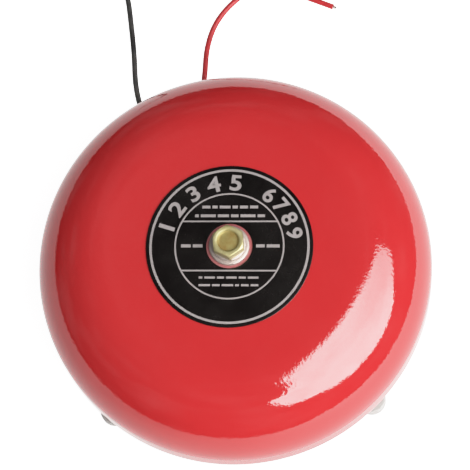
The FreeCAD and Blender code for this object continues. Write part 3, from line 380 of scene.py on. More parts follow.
def softened(corners, steps=5):
    """Closed profile whose corners (radius, height, rounding) are eased by quadratic curves:
    (1-t)^2 a + 2t(1-t) corner + t^2 b between points a and b on the corner's two sides.
    """
    places = np.array([c[:2] for c in corners], float)
    t = np.linspace(0, 1, steps)[:, None]
    points = []
    for i, (_, _, rounding) in enumerate(corners):
        here, before, after = places[i], places[i - 1], places[(i + 1) % len(corners)]
        a = here + (before - here) * rounding / np.linalg.norm(before - here)
        b = here + (after - here) * rounding / np.linalg.norm(after - here)
        points.append((1 - t) ** 2 * a + 2 * t * (1 - t) * here + t ** 2 * b)
    points.append(points[0][:1])
    return np.concatenate(points)


def ring_shell(profile, sides=360, number=0):
    """Shell of a profile turned all the way round, with the number of its finish."""
    return turned(profile, sides), grid_faces(len(profile), sides), number


def peel_effect():
    """Relief of enamel as it flows out: soft, even dimples with no fine grain."""
    group, spot, scale, height = relief_effect("flowed_enamel")
    feed(group, height, cloud(group, spot, scale, 1.0, 0.4))
    return group


PEEL = peel_effect()
enamel = finish("gong_enamel", (0.525, 0.0285, 0.0310), (0.500, 0.0255, 0.0280), 0.02, 0.05,
                patches=14.0, dust=0.012, IOR=1.7,
                reliefs=[(PEEL, 950.0, 0.029), (PEEL, 330.0, 0.018)])
thin_enamel = finish("gong_inside_enamel", (0.400, 0.020, 0.020), (0.330, 0.018, 0.017), 0.38, 0.55,
                     patches=45.0, dust=0.12, reliefs=[(GRAIN, 900.0, 0.012)])
# Seat ring round the bolt hole: rubbed, dusty enamel, painted darker as shade from the washers and
# the face plate.
rubbed_and_shaded_enamel = finish("gong_rubbed_and_shaded_enamel", (0.40, 0.095, 0.100), (0.31, 0.080, 0.080), 0.36, 0.55,
                       patches=420.0, dust=0.15, reliefs=[(GRAIN, 1200.0, 0.012)])

gong_hole, gong_edge, gong_top_z, gong_sheet = 3.525, 75.0, 52.0, 1.5
shoulder_bend, shoulder_ease, hole_edge = 27.5, 12.0, 0.2
rim_z, rim_middle = 15.75, gong_edge - gong_sheet / 2
bend_points, heading = pressed_bend(gong_edge, gong_top_z, shoulder_bend, shoulder_ease)
inner_bend = bend_points - gong_sheet * np.column_stack([np.sin(heading), np.cos(heading)])
seat = np.concatenate([
    arc((gong_hole + hole_edge, gong_top_z - hole_edge), hole_edge, 180, 90, 5),
    [(8.0, gong_top_z), (9.5, gong_top_z)]])
outside = np.concatenate([
    seat[-1:], [(14.0, gong_top_z), (22.0, gong_top_z), (31.0, gong_top_z)],
    bend_points,
    [(gong_edge, 21.0), (gong_edge, 18.0)],
    arc((rim_middle, rim_z), gong_sheet / 2, 0, -90, 8)])
inside = np.concatenate([
    arc((rim_middle, rim_z), gong_sheet / 2, -90, -180, 8),
    [(gong_edge - gong_sheet, 18.0), (gong_edge - gong_sheet, 21.0)],
    inner_bend[::-1],
    [(26.0, gong_top_z - gong_sheet), (14.0, gong_top_z - gong_sheet)],
    arc((gong_hole + hole_edge, gong_top_z - gong_sheet + hole_edge), hole_edge, 270, 180, 4),
    seat[:1]])
gong = piece("gong_bowl", [ring_shell(outside), ring_shell(inside, number=1),
                           ring_shell(seat, number=2)],
             [enamel, thin_enamel, rubbed_and_shaded_enamel], "gong")
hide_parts("gong")


# ---- Face plate -----------------------------------------------------------------------------
# A thin aluminium disc, satin black with matt silver screen printing: two rings, two rules, an
# arch of plain dial numbers and rows of short dashes. Glued to the gong round the washers.

face_black = finish("face_plate_black", (0.0040, 0.0030, 0.0029), (0.0060, 0.0048, 0.0045),
                    0.14, 0.20, patches=80.0, dust=0.02, Specular_IOR_Level=0.3,
                    reliefs=[(GRAIN, 1800.0, 0.003)])
face_silver = finish("face_plate_silver", (0.33, 0.295, 0.290), (0.29, 0.26, 0.255), 0.42, 0.58,
                     patches=300.0, dust=0.05, reliefs=[(GRAIN, 6000.0, 0.003)],
                     Metallic=0.15)

plate_top_z, plate_hole, plate_edge = 52.4, 8.55, 31.0
plate = piece("face_plate_disc", [ring_shell(softened([
    (plate_hole, gong_top_z, 0.02), (plate_edge, gong_top_z, 0.02),
    (plate_edge, plate_top_z, 0.12), (plate_hole, plate_top_z, 0.12)]))], [face_black], "gong")
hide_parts("face_plate")

# The print stands a little askew. Its bars stop lower than its rings, so that they never share
# a level where they cross.
print_turn = math.radians(-2.9)
ink_low, ink_high = plate_top_z - 0.01, plate_top_z + 0.025
bar_high = ink_high - 0.006


def printed_ring(inner, outer):
    """Ring of ink on the plate: a low rectangle turned about the gong's axis."""
    return ring_shell(softened([(inner, ink_low, 0.005), (outer, ink_low, 0.005),
                                (outer, ink_high, 0.012), (inner, ink_high, 0.012)], 2))


def printed_bar(x, y, length, width):
    """Bar of ink: a box centred at a place on the print, turned with the print."""
    signs = np.array([(1, 1), (-1, 1), (-1, -1), (1, -1)])
    turning = np.array([[math.cos(print_turn), math.sin(print_turn)],
                        [-math.sin(print_turn), math.cos(print_turn)]])
    flat = (signs * (length / 2, width / 2) + (x, y)) @ turning
    points = np.stack([np.column_stack([flat, np.full(4, z)]) for z in (ink_low, bar_high)])
    return points, [[0, 1, 5, 4], [1, 2, 6, 5], [2, 3, 7, 6], [3, 0, 4, 7], [4, 5, 6, 7],
                    [3, 2, 1, 0]], 0


def dash_row(y, start, end, lengths, width, gap=0.75):
    """Row of dashes between two places, their lengths in the given proportions."""
    scale = (end - start - gap * (len(lengths) - 1)) / sum(lengths)
    sizes = np.array(lengths) * scale
    middles = start + np.cumsum(sizes) - sizes / 2 + gap * np.arange(len(lengths))
    return [printed_bar(x, y, size, width) for x, size in zip(middles, sizes)]


rule_y, rule_reach = 9.45, 20.0
rule_half = math.sqrt(rule_reach ** 2 - rule_y ** 2)
ink = [printed_ring(28.8, 29.7), printed_ring(19.8, 20.4),
       printed_bar(0, rule_y, 2 * rule_half, 0.6), printed_bar(0, -rule_y, 2 * rule_half, 0.6)]
ink += dash_row(15.0, -10.4, 10.4, [3, 2, 4, 2, 3, 3], 1.1)
ink += dash_row(11.6, -13.0, 13.0, [1, 4, 3, 2, 4, 2], 1.1)
ink += dash_row(0.0, -17.9, -9.9, [2, 2], 1.2)
ink += dash_row(0.0, 9.9, 18.6, [2, 3], 1.2)
ink += dash_row(-12.1, -11.0, 11.0, [1, 3, 2, 3, 2, 3], 0.8)
ink += dash_row(-15.0, -11.0, 11.0, [3, 2, 3, 1, 2, 2], 0.8)
printing = piece("face_plate_print", ink, [face_silver], "gong")


def numeral(figure, bearing, radius, height, width_share):
    """One upright figure on the arch: a text outline with thickened strokes made a mesh,
    stretched to its height and width, then set at its bearing with its foot to the centre.
    """
    text = bpy.data.curves.new("figure", "FONT")
    text.body = figure
    text.size = 1.0
    text.offset = 0.025
    text.extrude = 0.002
    text.align_x = "CENTER"
    holder = bpy.data.objects.new("figure", text)
    mesh = bpy.data.meshes.new_from_object(holder)
    places = np.zeros(len(mesh.vertices) * 3)
    mesh.vertices.foreach_get("co", places)
    places = places.reshape(-1, 3)
    faces = [list(face.vertices) for face in mesh.polygons]
    low, high = places.min(0), places.max(0)
    scale = height / (high[1] - low[1])
    x = (places[:, 0] - (low[0] + high[0]) / 2) * scale * width_share
    y = (places[:, 1] - (low[1] + high[1]) / 2) * scale
    angle = math.radians(bearing) + print_turn
    across, out = angle - math.pi / 2, angle
    points = np.stack([
        (radius + y) * math.cos(out) + x * math.cos(across),
        (radius + y) * math.sin(out) + x * math.sin(across),
        np.where(places[:, 2] > 0, ink_high, ink_low)], axis=-1)
    bpy.data.objects.remove(holder)
    bpy.data.curves.remove(text)
    bpy.data.meshes.remove(mesh)
    return points, faces


arch_radius, figure_height = 24.45, 6.1
figures = [numeral(str(i + 1), bearing, arch_radius, figure_height, 1.22)
           for i, bearing in enumerate([163, 144, 124.5, 105, 85.5])]
figures += [numeral(str(i + 6), bearing, arch_radius, figure_height, 1.05)
            for i, bearing in enumerate([53.5, 39.5, 25.5, 11.5])]
figure_points = np.concatenate([points for points, _ in figures])
figure_starts = np.cumsum([0] + [len(points) for points, _ in figures[:-1]])
figure_mesh = bpy.data.meshes.new("face_plate_numbers")
figure_mesh.from_pydata((figure_points * MM).tolist(), [],
                        [[v + start for v in face]
                         for (_, faces), start in zip(figures, figure_starts.tolist())
                         for face in faces])
figure_mesh.materials.append(face_silver)
numbers = linked("face_plate_numbers", figure_mesh)
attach(numbers, "gong")


# ---- Gong bolt and its washers --------------------------------------------------------------
# A quarter-inch hexagon-head bolt with a dished head, in yellow passivated zinc with brownish
# tints where it is stamped, over a spring washer and a flat washer in clear zinc.

def lathe_effect():
    """Relief of fine rings round the pattern's own upright axis, as turning or stamping leaves:
    noise read along the distance from that axis.
    """
    group, spot, scale, height = relief_effect("turned_rings")
    flat = place(group, "VectorMath", {0: spot, 1: (1.0, 1.0, 0.0)}, operation="MULTIPLY")
    distance = place(group, "VectorMath", {0: (flat, "Vector")}, operation="LENGTH")
    line = place(group, "CombineXYZ", {"X": (distance, "Value")})
    feed(group, height, cloud(group, (line, "Vector"), scale, 2.0))
    return group


RINGS = lathe_effect()
yellow_zinc = finish("yellow_zinc", (0.56, 0.52, 0.29), (0.46, 0.40, 0.18), 0.30, 0.40,
                     patches=260.0, dust=0.02, Metallic=0.55,
                     reliefs=[(GRAIN, 900.0, 0.006), (RINGS, 2600.0, 0.002)])
stamped_zinc = finish("stamped_zinc", (0.31, 0.27, 0.10), (0.26, 0.16, 0.04), 0.42, 0.56,
                      patches=330.0, dust=0.04, Metallic=0.5, reliefs=[(GRAIN, 1500.0, 0.02)])
washer_zinc = finish("washer_zinc", (0.51, 0.43, 0.39), (0.43, 0.35, 0.31), 0.36, 0.50,
                     patches=300.0, dust=0.03, Metallic=0.5,
                     reliefs=[(GRAIN, 1100.0, 0.01), (RINGS, 2200.0, 0.004)])

flat_edge, flat_top_z, spring_edge, head_foot = 7.5, 53.6, 6.3, 55.2
flat_washer = piece("flat_washer_stamped", [ring_shell(softened([
    (gong_hole, gong_top_z, 0.1), (flat_edge, gong_top_z, 0.1), (flat_edge, 53.3, 0.3),
    (6.9, 53.55, 0.3), (4.2, flat_top_z, 0.3), (gong_hole, 53.45, 0.1)]), 200)],
    [washer_zinc], "washers")
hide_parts("flat_washer")


def split_ring(profile, gap, lean, middle, sides=180):
    """Open ring facing -Y: a closed profile carried from one side of the split to the other.
    At height z the split lies lean * (z - middle) further round, so its faces slant.
    """
    radius, height = np.asarray(profile, float).T
    share = np.linspace(0, 1, sides)
    half = (gap / 2) / radius
    shift = math.tan(math.radians(lean)) * (height - middle) / radius
    angle = (half + shift - math.pi / 2)[None, :] + share[:, None] * (2 * (math.pi - half))[None, :]
    points = np.stack([radius * np.cos(angle), radius * np.sin(angle),
                       np.broadcast_to(height, angle.shape)], axis=-1)
    around = len(profile) - 1
    points = points[:, :-1]
    ends = [list(range(around)), list(range((sides - 1) * around, sides * around))]
    return [(points, grid_faces(sides, around), 0), (points, ends, 0)]


split_gap, split_lean = 1.3, 30.0
spring_washer = piece("spring_washer_split", split_ring(softened([
    (gong_hole, flat_top_z, 0.15), (spring_edge, flat_top_z, 0.15), (spring_edge, 54.75, 0.3),
    (gong_hole, head_foot, 0.15)]),
    split_gap, split_lean, (flat_top_z + head_foot) / 2), [washer_zinc], "washers")
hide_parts("spring_washer")

head_top_z, head_flat, head_turn, head_sides = 59.6, 5.55, math.radians(92.1), 360
bearings = np.linspace(0, 2 * math.pi, head_sides, endpoint=False)
off_corner = (bearings - head_turn + math.pi / 6) % (math.pi / 3) - math.pi / 6
corner_radius = head_flat / math.cos(math.pi / 6)
to_flat = math.pi / 6 - np.abs(off_corner)
corner_worn, crown, shoulder_slope = 0.12, 5.36, 0.62
hexagon = np.minimum(head_flat / np.cos(to_flat), corner_radius - corner_worn)
shoulder_drop = (hexagon - crown) * shoulder_slope


def head_row(radius, height):
    """One ring of the bolt's head, from a radius and a height for each bearing."""
    radius, height = np.broadcast_to(radius, head_sides), np.broadcast_to(height, head_sides)
    return np.stack([radius * np.cos(bearings), radius * np.sin(bearings), height], axis=-1)


foot_edge = 0.15
head_rows = [head_row(3.0, head_foot), head_row(5.2, head_foot),
             head_row(hexagon - foot_edge, head_foot), head_row(hexagon, head_foot + foot_edge)]
side_height = head_top_z - shoulder_drop - head_foot - 2 * foot_edge
head_rows += [head_row(hexagon, head_foot + foot_edge + side_height * s)
              for s in (0.33, 0.66, 1.0)]
head_rows += [head_row(hexagon - (hexagon - crown) * s,
                       head_top_z - shoulder_drop * (1 - s) - 0.12 * (1 - s) ** 6 - 0.08 * s ** 8)
              for s in (0.06, 0.15, 0.3, 0.5, 0.7, 0.85, 0.94, 1.0)]
head_rows += [head_row(radius, head_top_z - depth) for radius, depth in (
    (5.26, 0.0), (4.8, 0.01), (4.35, 0.03), (4.22, 0.08), (4.1, 0.22), (4.0, 0.4), (3.92, 0.57))]
dish_rows = [head_row(radius, head_top_z - depth) for radius, depth in (
    (3.92, 0.57), (3.82, 0.66), (3.68, 0.75), (3.4, 0.79), (2.8, 0.8), (1.8, 0.77), (0.8, 0.75),
    (0.0, 0.74))]
bolt_head = np.stack(head_rows)

# The thread is (r cos a, r sin a, z): r falls from the shank's radius by the thread's depth with
# the place between two crests, which is z / pitch less the share of a turn, and at the tip.
shank_radius, pitch, thread_deep, thread_top, thread_foot = 3.165, 1.27, 0.62, 53.4, 36.2
thread_sides, thread_rows, tooth_slope, root_flat, tip_length = 48, 224, 2.6, 0.2, 0.9
around_step = np.linspace(0, 1, thread_sides, endpoint=False)
thread_heights = np.linspace(thread_foot, thread_top, thread_rows)
wind = (thread_heights[:, None] / pitch - around_step[None, :]) % 1.0
tooth = np.clip((0.5 - np.abs(wind - 0.5)) * tooth_slope - root_flat, 0.0, 1.0)
tip_taper = np.clip((thread_heights - thread_foot) / tip_length, 0.0, 1.0)[:, None]
thread_radius = shank_radius - thread_deep * np.maximum(1 - tooth, 1 - tip_taper)
thread = np.stack([thread_radius * np.cos(2 * math.pi * around_step)[None, :],
                   thread_radius * np.sin(2 * math.pi * around_step)[None, :],
                   np.broadcast_to(thread_heights[:, None], thread_radius.shape)], axis=-1)
neck = turned([(shank_radius - thread_deep, thread_top), (shank_radius, thread_top + 0.5),
               (shank_radius, head_foot)], thread_sides)
gong_bolt = piece("gong_bolt_threaded", [
    (bolt_head, grid_faces(len(bolt_head), head_sides), 0),
    (bolt_head[0], [list(range(head_sides))], 0),
    (np.stack(dish_rows), grid_faces(len(dish_rows), head_sides), 1),
    (thread, grid_faces(thread_rows, thread_sides), 0), (neck, grid_faces(3, thread_sides), 0),
    (thread[0], [list(range(thread_sides))], 0)], [yellow_zinc, stamped_zinc], "bolt", crease=28.0)
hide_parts("gong_bolt")


# ---- Pillar, seat washer and seal -----------------------------------------------------------
# A clear-zinc steel pillar carries the gong. Its spanner collar squeezes a rubber ring on the
# cover, and a red fibre washer keeps the gong's enamel off the steel.

def dress(nodes, material):
    """Give CAD nodes a finish in place of their plain one."""
    for name in nodes:
        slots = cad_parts[name].data.materials
        for i in range(len(slots)):
            slots[i] = material
        if not slots:
            slots.append(material)


clear_zinc = finish("clear_zinc", (0.62, 0.64, 0.67), (0.50, 0.52, 0.56), 0.26, 0.42, patches=300.0,
                    dust=0.06, Metallic=1.0, reliefs=[(GRAIN, 2200.0, 0.004)])
pillar_zinc = finish("pillar_zinc", (0.62, 0.64, 0.67), (0.48, 0.50, 0.55), 0.22, 0.38,
                     patches=200.0, dust=0.08, Metallic=1.0,
                     reliefs=[(RINGS, 1800.0, 0.01), (GRAIN, 1500.0, 0.008)])
rubber = finish("moulded_rubber", (0.020, 0.020, 0.021), (0.032, 0.031, 0.030), 0.62, 0.8,
                patches=120.0, dust=0.3, reliefs=[(GRAIN, 1400.0, 0.03)])
fibre = finish("vulcanised_fibre", (0.26, 0.062, 0.040), (0.19, 0.045, 0.030), 0.5, 0.68,
               patches=350.0, dust=0.12, reliefs=[(GRAIN, 900.0, 0.03)])
dress(["gong_pillar"], pillar_zinc)
dress(["pillar_seal", "base_gasket", "lead_gland"], rubber)
dress(["seat_washer"], fibre)


# ---- Cast base ------------------------------------------------------------------------------
# A die-cast aluminium dish with four fixing lugs, in light grey powder coat with its fine
# pebbled skin; dust lies on the lugs and in the dish.

powder_coat = finish("powder_coat", (0.520, 0.496, 0.476), (0.480, 0.456, 0.436), 0.42, 0.58,
                     patches=35.0, dust=0.22,
                     reliefs=[(GRAIN, 1100.0, 0.045), (GRAIN, 160.0, 0.05)])
dress(["base_casting"], powder_coat)


# ---- Mechanism cover, gasket and screws -----------------------------------------------------
# A moulded cup in warm grey plastic with a fine spark-eroded texture, on a rubber gasket, held
# by four cross-recessed screws.

moulded_grey = finish("moulded_grey", (0.43, 0.42, 0.40), (0.38, 0.37, 0.35), 0.48, 0.62,
                      patches=50.0, dust=0.25, reliefs=[(GRAIN, 2600.0, 0.02)])
dress(["mechanism_cover"], moulded_grey)
dress(["cover_screws", "plate_screws", "board_screws", "motor_screws"], clear_zinc)


# ---- Striker --------------------------------------------------------------------------------
# A ground steel rod with a hardened hammer head slides in a sintered bronze bush. A coil spring
# throws it out and a snail cam draws it in by the yoke and its follower pin.

striker_z = 19.8
ground_steel = finish("ground_steel", (0.50, 0.51, 0.53), (0.42, 0.43, 0.45), 0.2, 0.34,
                      patches=250.0, dust=0.05, Metallic=1.0, centre=(0, 0, striker_z),
                      turn=(0, 90, 0), reliefs=[(RINGS, 2400.0, 0.003), (GRAIN, 2500.0, 0.002)])
oiled_spring = finish("oiled_spring_steel", (0.30, 0.30, 0.31), (0.20, 0.20, 0.21), 0.22, 0.4,
                      patches=500.0, dust=0.04, Metallic=1.0, reliefs=[(GRAIN, 3000.0, 0.008)])
bronze = finish("sintered_bronze", (0.52, 0.34, 0.17), (0.40, 0.25, 0.12), 0.38, 0.55,
                patches=800.0, dust=0.05, Metallic=1.0, reliefs=[(GRAIN, 3500.0, 0.03)])
dress(["striker_rod", "striker_head", "follower_pin"], ground_steel)
dress(["striker_yoke", "mechanism_plate"], clear_zinc)
dress(["stop_clip", "axle_clip"], oiled_spring)
dress(["striker_bush"], bronze)


def coil(start, end, radius, wire, turns, height, steps=36, corners=12):
    """Shells of a round wire wound about a level line along x, with closed ends.

    Its middle is (x(a), radius cos a, height + radius sin a), where x rises with the angle, but
    slowly over nearly a turn at each end; the corners lie round it, outwards and along x.
    """
    closed, advance = 0.9, 0.62
    turn = np.linspace(0, turns, round(turns * steps) + 1)[:, None]
    along = np.interp(turn, (0.0, closed, turns - closed, turns),
                      (start, start + advance, end - advance, end))
    round_wire = np.linspace(0, 2 * math.pi, corners, endpoint=False)
    out = radius + wire * np.cos(round_wire)
    grid = np.stack([along + wire * np.sin(round_wire), out * np.cos(2 * math.pi * turn),
                     height + out * np.sin(2 * math.pi * turn)], axis=-1)
    return [(grid, grid_faces(len(grid), corners), 0),
            (grid[0], [list(range(corners))], 0), (grid[-1], [list(range(corners))], 0)]


# The spring stands between the plate's tab at x = 32.2 and the clip 9.8 mm further out. The clip
# draws 3 mm nearer when the striker is drawn in; the spring here is made at its full length only.
tab_x, clip_x, spring_radius, wire_radius, spring_turns = 32.2, 42.0, 3.2, 0.3, 5.5
end_gap = wire_radius + 0.05
spring_coils = piece("striker_spring_coils",
                     coil(tab_x + end_gap, clip_x - end_gap, spring_radius, wire_radius,
                          spring_turns, striker_z), [oiled_spring], "housing", crease=60.0)
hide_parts("striker_spring")
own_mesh(spring_coils)


# ---- Gear train -----------------------------------------------------------------------------
# A brass pinion on the motor's shaft drives a white acetal gear with the snail cam moulded on
# it, on a steel pin in the base's boss.

acetal = finish("acetal", (0.78, 0.77, 0.72), (0.72, 0.71, 0.66), 0.3, 0.42, patches=120.0,
                dust=0.08, centre=(18.0, 0, 0), Subsurface_Weight=0.1,
                reliefs=[(GRAIN, 1800.0, 0.01), (RINGS, 900.0, 0.006)])
brass = finish("bright_brass", (0.78, 0.56, 0.24), (0.66, 0.46, 0.18), 0.2, 0.34, patches=500.0,
               dust=0.04, Metallic=1.0, reliefs=[(GRAIN, 2600.0, 0.008)])
dress(["cam_gear"], acetal)
dress(["pinion", "motor_terminals"], brass)
dress(["cam_axle", "motor_shaft"], ground_steel)


# ---- Motor ----------------------------------------------------------------------------------
# A small permanent-magnet motor: drawn nickel-plated can, black moulded end cap with two brass
# tabs, two ferrite arcs and a three-pole laminated armature.

def sheet_effect():
    """Relief of a stack of thin sheets: even grooves up the pattern's height."""
    group, spot, scale, height = relief_effect("stacked_sheets")
    stripes = place(group, "TexWave", {"Vector": spot, "Scale": scale, "Distortion": 0.0},
                    bands_direction="Z")
    feed(group, height, (stripes, "Fac"))
    return group


SHEETS = sheet_effect()
nickel = finish("nickel_plate", (0.66, 0.65, 0.62), (0.58, 0.57, 0.54), 0.16, 0.28, patches=180.0,
                dust=0.06, Metallic=1.0, centre=(18.0, 14.4, 0),
                reliefs=[(RINGS, 1500.0, 0.006), (GRAIN, 1200.0, 0.005)])
black_moulding = finish("black_moulding", (0.030, 0.030, 0.033), (0.040, 0.040, 0.043), 0.36, 0.5,
                        patches=150.0, dust=0.2, reliefs=[(GRAIN, 2400.0, 0.015)])
ferrite = finish("ferrite", (0.075, 0.075, 0.08), (0.055, 0.055, 0.06), 0.5, 0.66, patches=400.0,
                 dust=0.05, reliefs=[(GRAIN, 2000.0, 0.02)])
laminations = finish("laminated_steel", (0.36, 0.36, 0.38), (0.27, 0.27, 0.29), 0.35, 0.5,
                     patches=400.0, dust=0.03, Metallic=1.0,
                     reliefs=[(SHEETS, 320.0, 0.05), (GRAIN, 2500.0, 0.01)])
dress(["motor_can"], nickel)
dress(["motor_end_cap"], black_moulding)
dress(["motor_magnets"], ferrite)
dress(["motor_armature"], laminations)


# ---- Circuit board --------------------------------------------------------------------------
# A glass-fibre board under green solder mask on three posts, with a boxed film capacitor, a
# smoothing can, a round bridge rectifier and two lacquered resistors.

def weave_effect():
    """Relief of woven glass under lacquer: two sets of even ridges that cross."""
    group, spot, scale, height = relief_effect("glass_weave")
    ridges = [(place(group, "TexWave", {"Vector": spot, "Scale": scale, "Distortion": 0.3},
                     bands_direction=way), "Fac") for way in ("X", "Y")]
    feed(group, height, combined(group, ridges[0], ridges[1], "MULTIPLY"))
    return group


WEAVE = weave_effect()
solder_mask = finish("green_solder_mask", (0.018, 0.115, 0.050), (0.014, 0.085, 0.038), 0.24, 0.36,
                     patches=120.0, dust=0.12, reliefs=[(WEAVE, 200.0, 0.012)])
box_moulding = finish("capacitor_moulding", (0.40, 0.37, 0.27), (0.36, 0.33, 0.24), 0.28, 0.4,
                      patches=120.0, dust=0.12, reliefs=[(GRAIN, 1500.0, 0.01)])
shrink_sleeve = finish("shrink_sleeve", (0.016, 0.026, 0.115), (0.013, 0.020, 0.090), 0.2, 0.32,
                       patches=140.0, dust=0.1, reliefs=[(GRAIN, 700.0, 0.012)])
chip_epoxy = finish("moulded_epoxy", (0.024, 0.024, 0.027), (0.034, 0.034, 0.037), 0.5, 0.62,
                    patches=200.0, dust=0.15, reliefs=[(GRAIN, 2800.0, 0.015)])
lacquer = finish("resistor_lacquer", (0.48, 0.36, 0.22), (0.42, 0.31, 0.19), 0.26, 0.4,
                 patches=300.0, dust=0.08, reliefs=[(GRAIN, 1500.0, 0.012)])
grey_pvc = finish("grey_pvc", (0.19, 0.19, 0.20), (0.16, 0.16, 0.17), 0.36, 0.5, patches=90.0,
                  dust=0.1, reliefs=[(GRAIN, 1500.0, 0.01)])
dress(["circuit_board"], solder_mask)
dress(["film_capacitor"], box_moulding)
dress(["electrolytic_capacitor"], shrink_sleeve)
dress(["bridge_rectifier"], chip_epoxy)
dress(["resistors"], lacquer)
dress(["motor_wires"], grey_pvc)
dress(["black_lead_tail"], black_pvc)
dress(["red_lead_tail"], red_pvc)


# ---- Floor and light ------------------------------------------------------------------------
# A white table top in a dim studio, a wide soft box to the east and an even fill. The soft box
# shows in gloss alone; the light that it throws comes from a panel in its place, so each has the
# strength it needs.

def bare_material(name):
    """Material with nothing in its tree but the output, and that tree."""
    material = bpy.data.materials.new(name)
    material.use_nodes = True
    tree = material.node_tree
    tree.nodes.remove(tree.nodes["Principled BSDF"])
    return material, tree


def stage_paper():
    """Matt white paper; mirrored in gloss it is brighter towards the soft box and the front, and
    duller in the west.
    """
    material, tree = bare_material("white_paper")
    spot = (place(tree, "TexCoord", {}), "Object")
    tone = mixed(tree, cloud(tree, spot, 20.0), (0.93, 0.93, 0.93, 1), (0.95, 0.95, 0.95, 1))
    matt = place(tree, "BsdfDiffuse", {"Color": tone})
    seen = place(tree, "Emission", {"Color": (1, 1, 1, 1), "Strength": 1.6})
    lifted = place(tree, "AddShader", {0: (matt, 0), 1: (seen, 0)})
    sides = place(tree, "SeparateXYZ", {"Vector": spot})
    eastward = ramp(tree, (sides, "X"), 0.0, 0.28, 1.19, 2.1)
    corner = combined(tree, ramp(tree, (sides, "X"), -0.06, 0.15, 0.0, 0.33),
                      ramp(tree, (sides, "Y"), -0.15, 0.0, 1.0, 0.0), "MULTIPLY")
    westward = ramp(tree, (sides, "X"), -0.16, -0.05, -0.25, 0.0)
    glow = combined(tree, combined(tree, eastward, corner), westward)
    bright = place(tree, "Emission", {"Color": (1, 0.985, 0.975, 1), "Strength": glow})
    rays = place(tree, "LightPath", {})
    for_eye = place(tree, "MixShader", {0: (rays, "Is Camera Ray"), 1: (matt, 0), 2: (lifted, 0)})
    for_gloss = place(tree, "MixShader", {0: (rays, "Is Glossy Ray"), 1: (for_eye, 0),
                                          2: (bright, 0)})
    feed(tree, tree.nodes["Material Output"].inputs["Surface"], (for_gloss, 0))
    return material


west, east, south, north, below = -0.85, 0.28, -0.44, 0.35, -0.0001
table_mesh = bpy.data.meshes.new("table_top")
table_mesh.from_pydata([(x, y, z) for z in (below - 0.012, below)
                        for x, y in ((west, south), (east, south), (east, north), (west, north))],
                       [], [(4, 5, 6, 7), (3, 2, 1, 0), (0, 1, 5, 4), (1, 2, 6, 5), (2, 3, 7, 6),
                            (3, 0, 4, 7)])
table_mesh.materials.append(stage_paper())
table = linked("table_top", table_mesh)


def facing(bearing, height, distance):
    """Axes and middle of a plane that faces the gong from a bearing and height in degrees."""
    gong_middle = Vector((0, 0, 0.045))
    b, h = math.radians(bearing), math.radians(height)
    out = Vector((math.cos(h) * math.cos(b), math.cos(h) * math.sin(b), math.sin(h)))
    side = Vector((0, 0, 1)).cross(out).normalized()
    return side, out.cross(side), out, gong_middle + out * distance


def panel(name, bearing, height, distance, shift, size, watts):
    """Square light for matt surfaces alone, shifted in its own plane."""
    side, over, out, middle = facing(bearing, height, distance)
    light = bpy.data.lights.new(name, "AREA")
    light.shape = "SQUARE"
    light.size = size
    light.energy = watts
    lamp = linked(name, light)
    lamp.matrix_world = (Matrix.Translation(middle + side * shift[0] + over * shift[1])
                         @ Matrix((side, over, out)).transposed().to_4x4())
    lamp.visible_camera = False
    lamp.visible_glossy = False


def soft_box(name, outline, bearing, height, distance, strength):
    """Sheet of light that only gloss mirrors. Its outline has its corners cut twice, each side
    at a quarter and three quarters. The glow is uneven, as cloth is. It fades over the outer two
    hundredths, over more towards the top, and is weaker towards the north end.
    """
    side, over, _, middle = facing(bearing, height, distance)
    whole, outer, soft_top, dull_tip = 0.99, 1.01, 0.13, 0.37
    edge = np.array(outline, float) * MM
    for _ in range(2):
        after = np.roll(edge, -1, axis=0)
        edge = np.stack([0.75 * edge + 0.25 * after, 0.25 * edge + 0.75 * after], 1).reshape(-1, 2)
    core = whole - soft_top * np.clip((edge[:, 1:] / MM - 100) / 400, 0, 1)
    tip = 1.0 - dull_tip * np.clip((edge[:, 0] / MM - 200) / 200, 0, 1)
    rings = [edge.mean(0) + (edge - edge.mean(0)) * share for share in (0.02, core, outer)]
    flat = np.concatenate(rings)
    points = (np.outer(flat[:, 0], side) + np.outer(flat[:, 1], over)) + np.array(middle)
    faces = grid_faces(3, len(edge)).tolist() + [list(range(len(edge)))]
    mesh = bpy.data.meshes.new(name)
    mesh.from_pydata(points.tolist(), [], faces)
    layer = mesh.attributes.new("glow", "FLOAT", "POINT")
    layer.data.foreach_set("value", np.concatenate([np.ones(len(edge)), tip, np.zeros(len(edge))]))
    material, tree = bare_material(name)
    glow = place(tree, "Attribute", {}, attribute_name="glow")
    spot = (place(tree, "TexCoord", {}), "Object")
    folds = ramp(tree, cloud(tree, spot, 5.0, 4.0, 0.6), 0.3, 0.7, 0.82 * strength, strength)
    light = place(tree, "Emission", {
        "Color": (1, 1, 1, 1), "Strength": combined(tree, (glow, "Fac"), folds, "MULTIPLY")})
    feed(tree, tree.nodes["Material Output"].inputs["Surface"], (light, 0))
    mesh.materials.append(material)
    sheet = linked(name, mesh)
    sheet.visible_camera = False
    sheet.visible_diffuse = False
    sheet.visible_shadow = False


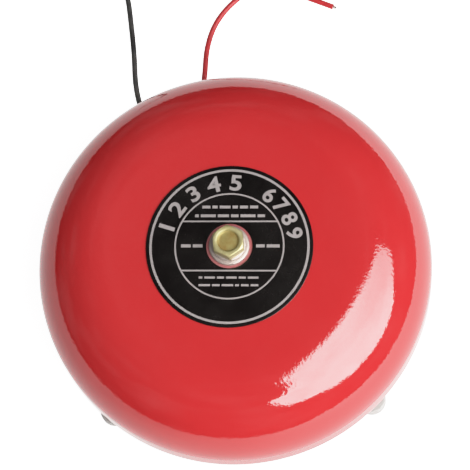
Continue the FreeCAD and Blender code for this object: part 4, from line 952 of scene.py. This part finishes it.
box_bearing, box_height, box_distance = -20.0, 47.0, 0.8
soft_box("soft_box", [
    (400, 81), (368, 274), (290, 335), (242, 440), (199, 533), (145, 582), (13, 581), (-95, 534),
    (-226, 482), (-284, 381), (-347, 284), (-455, 215), (-530, 222), (-600, 255), (-645, 190),
    (-698, -25), (-625, -103), (-501, -201), (-384, -375), (-192, -425), (-65, -464), (76, -445),
    (170, -390), (233, -323), (369, -133), (417, -91)],
    box_bearing, box_height, box_distance, 9.0)
panel("key_light", box_bearing, box_height, box_distance, (-0.14, 0.06), 0.92, 11.0)
panel("front_light", -50.0, 25.0, 0.8, (0.0, 0.0), 0.5, 2.2)

studio = bpy.data.worlds.new("studio")
studio.use_nodes = True
air = studio.node_tree
air.nodes.clear()
rays = place(air, "LightPath", {})
seen_air = place(air, "Background", {"Color": (1, 1, 1, 1), "Strength": 2.0})
fill_air = place(air, "Background", {"Color": (1, 1, 1, 1), "Strength": 0.30})
way = (place(air, "TexCoord", {}), "Generated")
upward = (place(air, "SeparateXYZ", {"Vector": way}), "Z")
room = cloud(air, way, 2.6, 3.0, 0.6)
dimness = combined(air, ramp(air, upward, 0.0, 1.0, 0.0, 0.05),
                   ramp(air, room, 0.48, 0.72, 0.0, 0.25))
dim_air = place(air, "Background", {"Color": (1, 1, 1, 1), "Strength": dimness})
gloss_or_fill = place(air, "MixShader", {0: (rays, "Is Glossy Ray"), 1: (fill_air, 0),
                                         2: (dim_air, 0)})
all_air = place(air, "MixShader", {0: (rays, "Is Camera Ray"), 1: (gloss_or_fill, 0),
                                   2: (seen_air, 0)})
feed(air, place(air, "OutputWorld", {}).inputs["Surface"], (all_air, 0))
bpy.context.scene.world = studio

# The tones run straight up to two thirds of white, then bend over, so that what is very bright
# keeps some colour; twice white is the brightest.
tones = bpy.context.scene.view_settings
tones.view_transform = "Standard"
tones.use_curve_mapping = True
tones.curve_mapping.white_level = (2.0, 2.0, 2.0)
shoulder = tones.curve_mapping.curves[3]
for seen, shown in ((0.34, 0.68), (0.45, 0.82), (0.62, 0.92)):
    shoulder.points.new(seen, shown)
for point in shoulder.points:
    point.handle_type = "VECTOR"
tones.curve_mapping.update()
